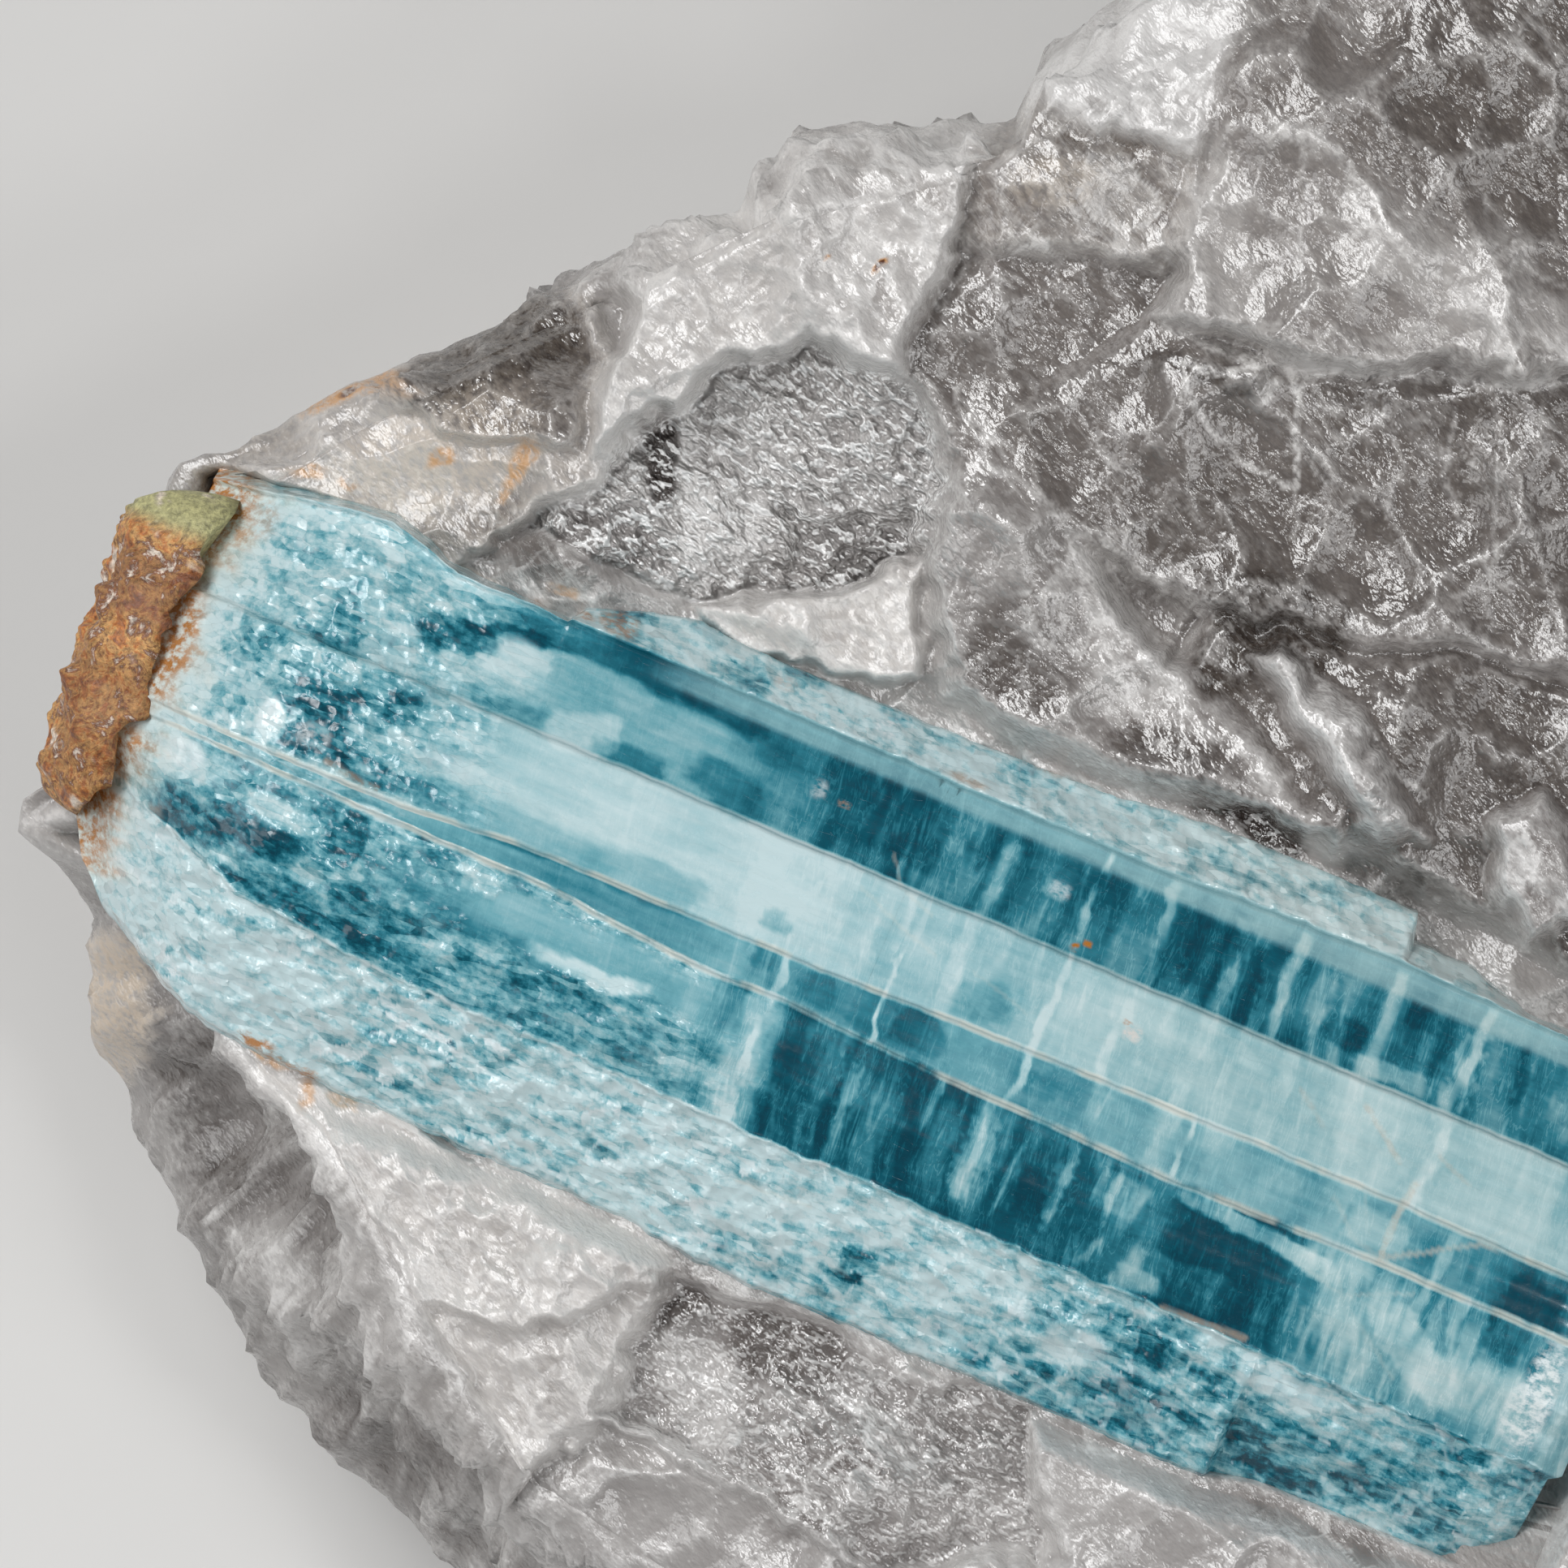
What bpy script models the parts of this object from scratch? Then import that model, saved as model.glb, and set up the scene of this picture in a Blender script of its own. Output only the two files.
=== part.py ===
"""Indicolite tourmaline in quartz.

A sheaf of blue-green tourmaline prisms, grown together side by side, lies sunk in the top of a broken
lump of milky and smoky quartz.  The left end of the sheaf is coated with a thick rusty crust.
The lump rests on a flat broken base at z = 0.
"""

import math

import bpy
import numpy as np

# Units: the tables below are in millimetres, the model is in metres.
MM = 0.001

# Brings the middle of the whole piece over the origin.
CENTRING = (-0.16, 0.39)

# Lump: outline seen from above, anticlockwise, about the middle of the lump.
OUTLINE = [
    (41.2, -0.7), (40.1, 7.8), (41.4, 16.3), (40.7, 25.5), (38.4, 33.3), (34.3, 38.8), (28.2, 41.8),
    (21.4, 42.5), (14.6, 41.1), (8.8, 38.8), (5.4, 36.7), (4.0, 36.0), (2.7, 35.0), (1.8, 33.7),
    (1.0, 32.1), (-3.1, 31.5), (-5.5, 31.8), (-8.4, 31.0), (-9.4, 29.6), (-10.4, 27.8), (-12.3, 27.8),
    (-13.3, 27.5), (-15.0, 26.5), (-18.1, 24.8), (-19.8, 23.9), (-22.5, 22.8), (-26.3, 21.4),
    (-28.4, 20.4), (-29.7, 19.7), (-30.9, 18.6), (-32.9, 17.7), (-34.1, 17.3), (-34.6, 16.3),
    (-33.6, 14.5), (-34.0, 12.8), (-35.4, 10.3), (-37.0, 7.2), (-38.2, 4.8), (-41.2, 3.0), (-41.5, 2.5),
    (-40.8, 1.6), (-39.5, 0.3), (-38.1, -1.6), (-38.1, -2.2), (-38.3, -3.2), (-38.0, -4.3),
    (-38.3, -5.6), (-38.4, -7.0), (-37.6, -8.2), (-36.9, -9.2), (-36.6, -10.7), (-35.9, -12.1),
    (-34.5, -14.3), (-32.7, -18.4), (-30.3, -21.8), (-27.3, -25.5), (-23.5, -29.0), (-19.8, -33.0),
    (-15.7, -36.7), (-9.2, -40.5), (-0.7, -42.5), (11.2, -42.5), (21.4, -40.5), (29.9, -36.4),
    (35.0, -29.6), (37.7, -21.1), (40.1, -10.9),
]

# Shoulder: direction in degrees, height of the widest line, width of the sloping shoulder above it.
SHOULDER = [
    (0, 22, 4.0), (30, 22, 4.0), (58, 23, 4.0), (66, 28, 3.0), (95, 29, 2.5), (150, 30, 2.5),
    (170, 29, 2.5), (178, 25, 3.5), (184, 18, 5.0), (192, 14, 5.7), (201, 13, 7.4), (216, 12, 7.1),
    (228, 13, 6.0), (240, 15, 6.0), (252, 16, 8.0), (270, 16, 6.0), (300, 16, 5.0), (325, 20, 4.0),
]
SHOULDER_START = math.radians(24)
BASE_SHARE = 0.87
WALL_BEND = 1.4
FLOOR_DEPTH = 3.0

# Broken faces on top: level at the middle, slope along x, slope along y, softness of the edge, corners.
TOP_LEVEL = 33.0
TOP_FACES = [
    (33.5, 0.10, 0.00, 0.5, [(-34.2, 17.2), (-26.2, 21.6), (-17.1, 25.0), (-16.2, 22.4), (-16.6, 16.3),
                             (-22.5, 12.9), (-26.9, 15.0), (-31.7, 16.7)]),
    (34.2, 0.00, -0.45, 0.4, [(-25.9, 21.1), (-17.7, 24.8), (-16.7, 21.8), (-17.7, 17.7), (-21.1, 18.4)]),
    (37.0, 0.05, 0.10, 0.5, [(-16.7, 16.0), (-16.2, 22.1), (-12.3, 28.2), (-7.5, 28.6), (-7.2, 22.8),
                             (-11.3, 21.8), (-14.7, 18.9)]),
    (38.0, 0.00, 0.06, 0.5, [(-9.2, 31.2), (-5.5, 32.4), (0.6, 32.6), (1.0, 29.9), (-1.8, 26.9),
                             (-1.9, 23.8), (-3.1, 21.1), (-5.5, 20.9), (-7.9, 23.1)]),
    (32.6, 0.06, 0.12, 0.4, [(-19.8, 14.3), (-14.7, 19.0), (-11.3, 21.8), (-7.5, 22.8), (-3.1, 20.7),
                             (-1.1, 16.7), (-1.8, 12.9), (-7.5, 12.1), (-12.3, 11.4)]),
    (31.4, 0.00, 0.00, 0.4, [(-8.4, 15.0), (-5.5, 15.5), (-2.4, 14.6), (-3.1, 12.9), (-6.2, 12.2),
                             (-8.1, 12.9)]),
    (34.8, 0.00, -0.10, 0.4, [(-12.0, 11.4), (-7.5, 12.1), (-3.1, 12.9), (-3.1, 8.5), (-5.5, 8.0),
                              (-10.9, 9.9)]),
    (37.0, 0.10, 0.00, 0.5, [(0.4, 32.6), (8.8, 34.0), (8.8, 25.5), (2.7, 25.5), (-1.8, 26.5)]),
    (38.6, 0.05, 0.02, 0.9, [(1.6, 33.0), (2.7, 36.0), (6.1, 38.0), (11.5, 39.4), (11.8, 33.3),
                             (8.8, 30.4), (2.7, 31.6)]),
    (39.5, 0.02, -0.05, 0.35, [(7.4, 23.0), (8.6, 29.9), (11.5, 41.5), (26.5, 43.5), (37.7, 36.3),
                               (41.7, 20.4), (24.1, 20.7), (19.7, 20.6), (12.9, 21.4)]),
    (36.7, 0.02, 0.05, 0.4, [(7.4, 22.8), (12.9, 21.2), (24.1, 20.6), (42.7, 20.1), (42.1, 9.5),
                             (24.1, 8.5), (9.5, 10.9), (1.0, 15.0), (1.0, 20.4)]),
    (35.3, 0.02, 0.05, 0.5, [(9.5, 10.9), (24.1, 8.5), (42.1, 7.8), (42.7, -4.1), (24.1, -3.7),
                             (16.3, 0.7), (11.5, 2.7), (7.4, 7.8)]),
    (36.2, 0.00, 0.00, 0.6, [(-0.7, 17.7), (1.6, 16.3), (6.7, 10.2), (14.2, 2.4), (11.5, 1.7),
                             (3.7, 4.1), (-1.4, 7.8), (-3.1, 12.9)]),
    (37.3, 0.00, 0.00, 0.5, [(11.3, 9.2), (12.5, 9.5), (18.3, 2.0), (16.3, 1.4)]),
    (33.2, 0.00, 0.00, 0.4, [(8.8, 2.7), (11.5, 3.2), (13.2, 1.4), (12.9, 0.3)]),
    (37.4, 0.00, 0.00, 0.7, [(21.0, 2.4), (23.1, 3.1), (24.1, 1.4), (24.1, -1.7), (22.4, -2.7),
                             (20.8, 0.0)]),
    (35.6, 0.00, 0.00, 0.7, [(28.5, -4.0), (42.0, -4.0), (40.0, -26.0), (24.0, -36.0), (20.5, -33.0)]),
    (33.2, 0.00, -0.06, 0.4, [(-32.4, -7.1), (-26.9, -9.5), (-20.5, -12.2), (-14.3, -15.3),
                              (-13.7, -16.3), (-15.7, -18.0), (-19.8, -19.4), (-23.9, -17.7),
                              (-27.9, -11.6)]),
    (32.4, 0.05, 0.05, 0.4, [(-23.9, -17.7), (-19.8, -19.0), (-15.0, -17.7), (-13.7, -16.7),
                             (-14.3, -19.4), (-16.7, -22.4), (-17.7, -26.5), (-19.8, -25.8)]),
    (30.8, 0.05, 0.05, 0.5, [(-13.7, -16.3), (-7.5, -19.0), (2.3, -22.8), (2.3, -29.0), (-5.5, -29.0),
                             (-10.9, -25.8), (-16.4, -22.4)]),
    (33.2, 0.00, 0.05, 0.9, [(2.3, -23.1), (9.5, -25.5), (20.0, -32.0), (12.9, -38.7), (2.7, -31.3)]),
    (29.8, 0.05, 0.10, 0.5, [(-19.8, -25.8), (-16.4, -22.8), (-10.9, -25.8), (-5.5, -29.0),
                             (2.7, -43.5), (-12.9, -41.8), (-20.0, -34.0)]),
    (31.6, 0.10, 0.00, 0.4, [(-42.4, 3.2), (-38.5, 2.7), (-36.0, -0.7), (-33.0, -5.4), (-34.5, -6.5),
                             (-39.0, -3.0)]),
]
EDGE_WANDER = 0.6
EDGE_WANDER_SIZE = 3.2

# Shell-shaped hollows of the broken quartz: size across and depth, large ones and small ones.
TOP_HOLLOWS = [(9.0, 1.1, 11), (3.6, 0.55, 12)]
WALL_HOLLOWS = [(17.0, 4.6, 21), (7.0, 1.5, 22)]

# Fineness of the lump before its flat areas are merged.
LUMP_COLUMNS = 380
TOP_RINGS = 105
SHOULDER_RINGS = 12
WALL_RINGS = 28
MERGED_SHARE = 0.060

# Sheaf: place and turn of its own frame; u runs along the prisms, w across them.
SHEAF_MIDDLE = (-7.55, -4.76)
SHEAF_TURN = math.radians(-23)
SHEAF_START = -31.6
SHEAF_END = 37.0
FIT_GAP = 0.3
EDGE_REACH = 0.4

# Lines along the sheaf, each a list of (u, w): its upper and lower sides and the joints between prisms.
UPPER_SIDE = [
    (-32.0, 10.2), (-30.6, 11.0), (-28.9, 11.0), (-25.8, 11.4), (-23.8, 11.6), (-22.1, 11.2),
    (-21.1, 10.7), (-15.4, 10.5), (-14.9, 11.2), (-12.9, 11.9), (-10.2, 12.5), (-6.8, 12.3), (0.0, 12.3),
    (8.5, 12.6), (12.6, 13.1), (19.7, 13.1), (22.2, 13.0), (22.5, 11.8), (25.2, 11.8), (27.4, 11.2),
    (28.0, 10.9), (37.0, 10.9),
]
STRIP_JOINT = [(-32.0, 9.8), (-25.8, 10.9), (-23.8, 11.1), (-22.1, 10.7), (-20.4, 10.2), (-14.9, 10.3),
               (11.9, 10.3), (15.3, 10.5), (22.2, 10.7), (25.2, 10.6), (37.0, 10.3)]
DARK_JOINT = [(-32.0, 5.4), (37.0, 5.6)]
PALE_JOINT = [(-32.0, 0.4), (-18.7, 0.4), (-13.6, 0.9), (0.0, 1.0), (5.1, 1.2), (17.0, 1.4), (25.5, 1.5),
              (37.0, 1.3)]
CREAM_JOINT = [(-32.0, -0.2), (-12.0, -0.3), (-5.1, -0.9), (-1.0, -0.8), (5.1, -1.1), (17.0, -1.4),
               (26.0, -1.2), (37.0, -1.2)]
LOWER_JOINT = [(-32.0, -2.6), (-30.3, -3.1), (-29.2, -3.9), (-27.2, -4.4), (-23.8, -5.6), (-20.4, -6.0),
               (-15.3, -6.4), (-1.7, -6.5), (1.4, -6.6), (37.0, -6.7)]
LOWER_SIDE = [
    (-32.0, -5.0), (-31.6, -5.2), (-30.5, -7.0), (-28.9, -8.5), (-26.5, -9.9), (-23.8, -11.2),
    (-20.4, -11.7), (-17.0, -11.9), (-3.1, -12.1), (0.0, -12.6), (23.1, -12.6), (25.5, -12.1),
    (37.0, -12.0),
]

# Heights of the prism faces at the joints, from the upper side to the lower side.
STRIP_OUTER, STRIP_INNER = 34.6, 36.9
DARK_OUTER, DARK_INNER = 36.4, 38.2
PALE_OUTER, PALE_INNER = 38.8, 39.8
CREAM_OUTER, CREAM_INNER = 39.5, 39.3
TEAL_OUTER, TEAL_MIDDLE, TEAL_INNER = 39.0, 38.7, 37.4
LOWER_OUTER, LOWER_MIDDLE, LOWER_INNER = 37.1, 35.6, 33.6
SIDE_TOP = 32.2
UNDERSIDE = 22.0
START_FADE, START_DROP = 8.0, 5.5
END_FADE, END_DROP = 3.0, 1.2
END_SHORTER = [(-12.0, 0.9), (-6.8, 0.6), (-6.5, 0.1), (-1.3, 0.3), (1.3, 0.7), (5.5, 0.0), (5.7, 0.8), (11.0, 0.5)]
END_REACH = 4.0
STEP_AT, STEP_DROP = 23.1, 1.3
JOINT_WIDTH = 0.12

# Crust: reach along the sheaf, across it and in height.
CRUST_BACK, CRUST_FRONT = -31.9, -34.3
CRUST_LOW, CRUST_HIGH = -5.8, 9.9
CRUST_BOTTOM, CRUST_TOP = 26.0, 36.0
CRUST_SQUARENESS = 0.75
CRUST_LUMP_SIZE, CRUST_LUMP = 2.2, 0.9
CRUST_COLUMNS, CRUST_RINGS = 30, 8
OPEN_LENGTH = 18.0
OPEN_LOW, OPEN_HIGH = -6.3, 12.5
CUT_TOP = 62.0


def remove_everything():
    """Starts from an empty scene."""
    for old in list(bpy.data.objects):
        bpy.data.objects.remove(old, do_unlink=True)


def scattered(ix, iy, iz, salt):
    """A repeatable number from 0 to 1 for each whole-number place."""
    mixed = (ix * 73856093) ^ (iy * 19349663) ^ (iz * 83492791) ^ (salt * 2654435761)
    mixed = (mixed ^ (mixed >> 13)) & 0x7FFFFFFF
    mixed = (mixed * 1274126177) & 0x7FFFFFFFFFFF
    mixed = mixed ^ (mixed >> 15)
    return (mixed & 0xFFFFF) / 0xFFFFF


def soft_lumps(x, y, z, size, salt):
    """Smooth lumps between -1 and 1; size is the distance from one lump to the next."""
    place = [np.asarray(axis, float) / size for axis in (x, y, z)]
    cell = [np.floor(axis).astype(np.int64) for axis in place]
    part = [axis - low for axis, low in zip(place, cell)]
    eased = [axis * axis * (3 - 2 * axis) for axis in part]
    total = np.zeros(np.broadcast(*place).shape)
    for corner in np.ndindex(2, 2, 2):
        weight = 1.0
        for step, share in zip(corner, eased):
            weight = weight * (share if step else 1 - share)
        value = scattered(cell[0] + corner[0], cell[1] + corner[1], cell[2] + corner[2], salt)
        total = total + weight * value
    return total * 2 - 1


def hollows(x, y, z, size, depth, salt):
    """Shell-shaped hollows that meet in sharp ridges: the lowest of many tilted bowls."""
    curve = 4 * depth / size**2
    slope = 1.6 * depth / size
    cell = [np.floor(axis / size).astype(np.int64) for axis in (x, y, z)]
    lowest = np.full(x.shape, 1e9)
    for step in np.ndindex(3, 3, 3):
        seed = [low + shift - 1 for low, shift in zip(cell, step)]
        away = []
        for number, axis in enumerate((x, y, z)):
            jitter = scattered(*seed, salt + 7 + number)
            away.append(axis - (seed[number] + jitter) * size)
        bowl = curve * (away[0] ** 2 + away[1] ** 2 + away[2] ** 2)
        for number in range(3):
            bowl = bowl + away[number] * slope * (2 * scattered(*seed, salt + 17 + number) - 1)
        bowl = bowl + depth * scattered(*seed, salt + 27)
        lowest = np.minimum(lowest, bowl)
    return lowest - depth


def inside_distance(x, y, corners):
    """Distance to the edge of a many-cornered area, positive inside it."""
    nearest = np.full(x.shape, 1e9)
    inside = np.zeros(x.shape, bool)
    for (ax, ay), (bx, by) in zip(corners, corners[1:] + corners[:1]):
        along = ((x - ax) * (bx - ax) + (y - ay) * (by - ay)) / ((bx - ax) ** 2 + (by - ay) ** 2)
        along = np.clip(along, 0, 1)
        gap = np.hypot(x - ax - along * (bx - ax), y - ay - along * (by - ay))
        nearest = np.minimum(nearest, gap)
        crosses = (ay > y) != (by > y)
        level = np.where(by == ay, 1e-9, by - ay)
        inside ^= crosses & (x < (bx - ax) * (y - ay) / level + ax)
    return np.where(inside, nearest, -nearest)


def eased_step(value):
    """Rises smoothly from 0 to 1 while the value goes from 0 to 1."""
    value = np.clip(value, 0, 1)
    return value * value * (3 - 2 * value)


def top_height(x, y):
    """Height of the broken top of the lump."""
    flat = np.zeros(x.shape)
    wide = EDGE_WANDER * soft_lumps(x, y, flat, EDGE_WANDER_SIZE, 1)
    tall = EDGE_WANDER * soft_lumps(x, y, flat, EDGE_WANDER_SIZE, 2)
    height = TOP_LEVEL + 0.8 * soft_lumps(x, y, flat, 11.0, 3)
    for level, slope_x, slope_y, softness, corners in TOP_FACES:
        middle_x = sum(corner[0] for corner in corners) / len(corners)
        middle_y = sum(corner[1] for corner in corners) / len(corners)
        share = eased_step(inside_distance(x + wide, y + tall, corners) / softness * 0.5 + 0.5)
        face = level + slope_x * (x - middle_x) + slope_y * (y - middle_y)
        height = height + share * (face - height)
    for size, depth, salt in TOP_HOLLOWS:
        height = height + hollows(x, y, flat, size, depth, salt) * 0.7
    return height


def lump_grid():
    """Points of the lump: columns around it, rings from the middle of the top down to the base."""
    angle = np.linspace(0, 2 * math.pi, LUMP_COLUMNS, endpoint=False)
    corner_angle = np.array([math.atan2(y, x) for x, y in OUTLINE])
    corner_reach = np.array([math.hypot(x, y) for x, y in OUTLINE])
    reach = np.interp(angle, np.unwrap(corner_angle), corner_reach, period=2 * math.pi)
    shoulder = np.array(SHOULDER, float)
    degrees = np.degrees(angle)
    widest = np.interp(degrees, shoulder[:, 0], shoulder[:, 1], period=360)
    width = np.interp(degrees, shoulder[:, 0], shoulder[:, 2], period=360)

    top = np.linspace(0, 1, TOP_RINGS + 1)[1:, None] ** 0.8
    top_reach = top * (reach - width)
    top_x = top_reach * np.cos(angle)
    top_y = top_reach * np.sin(angle)
    top_z = top_height(top_x, top_y)

    turn = np.linspace(SHOULDER_START, math.pi / 2, SHOULDER_RINGS + 1)[1:, None]
    outward = (np.sin(turn) - math.sin(SHOULDER_START)) / (1 - math.sin(SHOULDER_START))
    downward = (math.cos(SHOULDER_START) - np.cos(turn)) / math.cos(SHOULDER_START)
    edge_reach = reach - width + outward * width
    edge_z = top_z[-1] + downward * (widest - top_z[-1])

    fall = np.linspace(0, 1, WALL_RINGS + 1)[1:, None]
    wall_reach = reach * (1 - (1 - BASE_SHARE) * fall**WALL_BEND)
    wall_z = widest - (widest + FLOOR_DEPTH) * fall

    side_reach = np.vstack([edge_reach, wall_reach])
    side_z = np.vstack([edge_z, wall_z])
    side_x = side_reach * np.cos(angle)
    side_y = side_reach * np.sin(angle)
    carved = np.zeros(side_x.shape)
    for size, depth, salt in WALL_HOLLOWS:
        carved = carved + np.minimum(hollows(side_x, side_y, side_z, size, depth, salt) - 0.4 * depth, 0)
    from_widest = eased_step(np.abs(side_z - widest) / 6.0) * 0.9 + 0.1
    from_top = eased_step((top_z[-1] - side_z) / 4.0)
    shrink = 1 + carved * from_widest * from_top / side_reach
    side_x = side_x * shrink
    side_y = side_y * shrink
    x = np.vstack([top_x, side_x])
    y = np.vstack([top_y, side_y])
    z = np.vstack([top_z, side_z])
    middle = top_height(np.zeros(1), np.zeros(1))[0]
    return np.stack([x, y, z], axis=-1), (0.0, 0.0, middle)


def closed_rings(rings, first_point, last_point):
    """Points and faces of a closed skin through equal rings, ended by a point at each end."""
    count, around, _ = rings.shape
    points = [tuple(first_point)] + [tuple(point) for point in rings.reshape(-1, 3)]
    points.append(tuple(last_point))
    last = len(points) - 1
    faces = []
    for column in range(around):
        beside = (column + 1) % around
        faces.append((0, 1 + column, 1 + beside))
        for ring in range(count - 1):
            here = 1 + ring * around
            below = here + around
            faces.append((here + column, below + column, below + beside, here + beside))
        tail = 1 + (count - 1) * around
        faces.append((tail + column, last, tail + beside))
    return points, faces


def add_object(name, points, faces, turned_inside_out=False):
    """A new named object from points in millimetres."""
    if turned_inside_out:
        faces = [tuple(reversed(face)) for face in faces]
    mesh = bpy.data.meshes.new(name)
    shift = (*CENTRING, 0.0)
    placed_points = [tuple(float(a + b) * MM for a, b in zip(point, shift)) for point in points]
    mesh.from_pydata(placed_points, [], faces)
    mesh.update()
    made = bpy.data.objects.new(name, mesh)
    bpy.context.scene.collection.objects.link(made)
    return made


def set_material(thing, name, colour, roughness, ior):
    """Gives the object its own material."""
    material = bpy.data.materials.new(name)
    material.use_nodes = True
    shader = material.node_tree.nodes["Principled BSDF"]
    shader.inputs["Base Color"].default_value = (*colour, 1.0)
    shader.inputs["Roughness"].default_value = roughness
    shader.inputs["IOR"].default_value = ior
    thing.data.materials.append(material)


def line_at(line, u):
    """Where a line along the sheaf lies across it at u."""
    table = np.array(line, float)
    return np.interp(u, table[:, 0], table[:, 1])


def placed(u, w, z):
    """A point of the sheaf's own frame in the frame of the lump."""
    cosine, sine = math.cos(SHEAF_TURN), math.sin(SHEAF_TURN)
    x = SHEAF_MIDDLE[0] + u * cosine - w * sine
    y = SHEAF_MIDDLE[1] + u * sine + w * cosine
    return x, y, z


def sheaf_bottom(low, high, lowest):
    """Underside of the sheaf from its lower side to its upper side: a shallow barrel."""
    return [
        (low + 0.7, lowest + 6.6), (low + 3.4, lowest + 2.6), (low + 7.6, lowest + 0.4),
        (high - 7.6, lowest), (high - 3.4, lowest + 2.4), (high - 0.7, lowest + 6.8),
    ]


def sheaf_section(u):
    """Outline of the sheaf at u as (w, z), from its upper side over the prisms and back below."""
    high = line_at(UPPER_SIDE, u)
    strip = min(line_at(STRIP_JOINT, u), high - 0.35)
    dark = line_at(DARK_JOINT, u)
    pale = line_at(PALE_JOINT, u)
    cream = line_at(CREAM_JOINT, u)
    lower = line_at(LOWER_JOINT, u)
    low = line_at(LOWER_SIDE, u)
    drop = START_DROP * max(0.0, (SHEAF_START + START_FADE - u) / START_FADE) ** 1.5
    drop += END_DROP * max(0.0, (u - SHEAF_END + END_FADE) / END_FADE) ** 2
    step = STEP_DROP if u > STEP_AT else 0.0
    half = JOINT_WIDTH / 2
    top = [
        (high, SIDE_TOP), (high - 0.15, STRIP_OUTER), (strip + half, STRIP_INNER),
        (strip - half, DARK_OUTER), (dark + half, DARK_INNER), (dark - half, PALE_OUTER),
        (pale + half, PALE_INNER), (pale - half, CREAM_OUTER), (cream + half, CREAM_INNER),
        (cream - half, TEAL_OUTER), ((cream + lower) / 2, TEAL_MIDDLE), (lower + half, TEAL_INNER),
        (lower - half, LOWER_OUTER), ((lower + low) / 2, LOWER_MIDDLE - step * 0.5),
        (low + 0.3, LOWER_INNER - step), (low, SIDE_TOP - step),
    ]
    top = [(w, max(z - drop, UNDERSIDE + 8.0)) for w, z in top]
    return top + sheaf_bottom(low, high, UNDERSIDE)


def sheaf_stations():
    """Places along the sheaf where its outline is set."""
    ends = {SHEAF_START, SHEAF_END, STEP_AT, STEP_AT + 0.3, -14.9, -15.4, 22.2, 22.5}
    evenly = np.arange(SHEAF_START + 1.4, SHEAF_END - 1.0, 1.75)
    return sorted(ends | {round(float(u), 2) for u in evenly})


def build_sheaf():
    """The fused tourmaline prisms as one closed body."""
    rings = []
    stations = sheaf_stations()
    for u in stations:
        section = sheaf_section(u)
        w = np.array([point[0] for point in section])
        z = np.array([point[1] for point in section])
        along = u - line_at(END_SHORTER, w) * max(0.0, (u - SHEAF_END + END_REACH) / END_REACH)
        ripple = 0.10 * soft_lumps(along, w * 3, w * 0, 2.6, 31)
        exposed = (z > SIDE_TOP - 1.5).astype(float)
        x, y, z = placed(along, w, z + ripple * exposed)
        rings.append(np.stack([x, y, z], axis=-1))
    rings = np.array(rings)
    first = rings[0].mean(axis=0)
    last = rings[-1].mean(axis=0)
    points, faces = closed_rings(rings, first, last)
    sheaf = add_object("tourmaline_crystal", points, faces, turned_inside_out=True)
    set_material(sheaf, "blue_green_tourmaline", (0.030, 0.190, 0.240), 0.22, 1.63)
    return sheaf


def build_crust():
    """The thick rusty crust on the left end: a flat back and a lumpy rounded front."""
    across = (CRUST_HIGH + CRUST_LOW) / 2
    level = (CRUST_TOP + CRUST_BOTTOM) / 2
    half_width = (CRUST_HIGH - CRUST_LOW) / 2
    half_height = (CRUST_TOP - CRUST_BOTTOM) / 2
    turn = np.linspace(0, 2 * math.pi, CRUST_COLUMNS, endpoint=False)
    cosine = np.sign(np.cos(turn)) * np.abs(np.cos(turn)) ** CRUST_SQUARENESS
    sine = np.sign(np.sin(turn)) * np.abs(np.sin(turn)) ** CRUST_SQUARENESS
    rings = []
    outline = 1 - 0.09 * (1 + soft_lumps(cosine * half_width, sine * half_height, sine * 0, 2.6, 42))
    for step in range(1, CRUST_RINGS + 1):
        share = step / CRUST_RINGS
        w = across + half_width * cosine * share**0.75 * outline
        z = level + half_height * sine * share**0.75 * outline
        bulge = (1 - share**5) ** 0.6
        lumps = CRUST_LUMP * (1 + soft_lumps(w, z, w * 0, CRUST_LUMP_SIZE, 41)) * bulge
        u = CRUST_BACK + (CRUST_FRONT - CRUST_BACK) * bulge + lumps * 0.8
        u = np.minimum(u, CRUST_BACK)
        x, y, z = placed(u, w, z)
        rings.append(np.stack([x, y, z], axis=-1))
    front = placed(CRUST_FRONT, across, level)
    back = placed(CRUST_BACK, across, level)
    points, faces = closed_rings(np.array(rings), front, back)
    crust = add_object("iron_oxide_crust", points, faces, turned_inside_out=True)
    set_material(crust, "rusty_crust", (0.330, 0.110, 0.035), 0.85, 1.6)
    return crust


def grown_side(line, u, outward):
    """A side of the sheaf moved out by the gap, looking a little way to both sides along it."""
    nearby = [line_at(line, u + shift) for shift in (-EDGE_REACH, -EDGE_REACH / 2, 0, EDGE_REACH / 2, EDGE_REACH)]
    if outward > 0:
        return max(nearby) + FIT_GAP
    return min(nearby) - FIT_GAP


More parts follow.
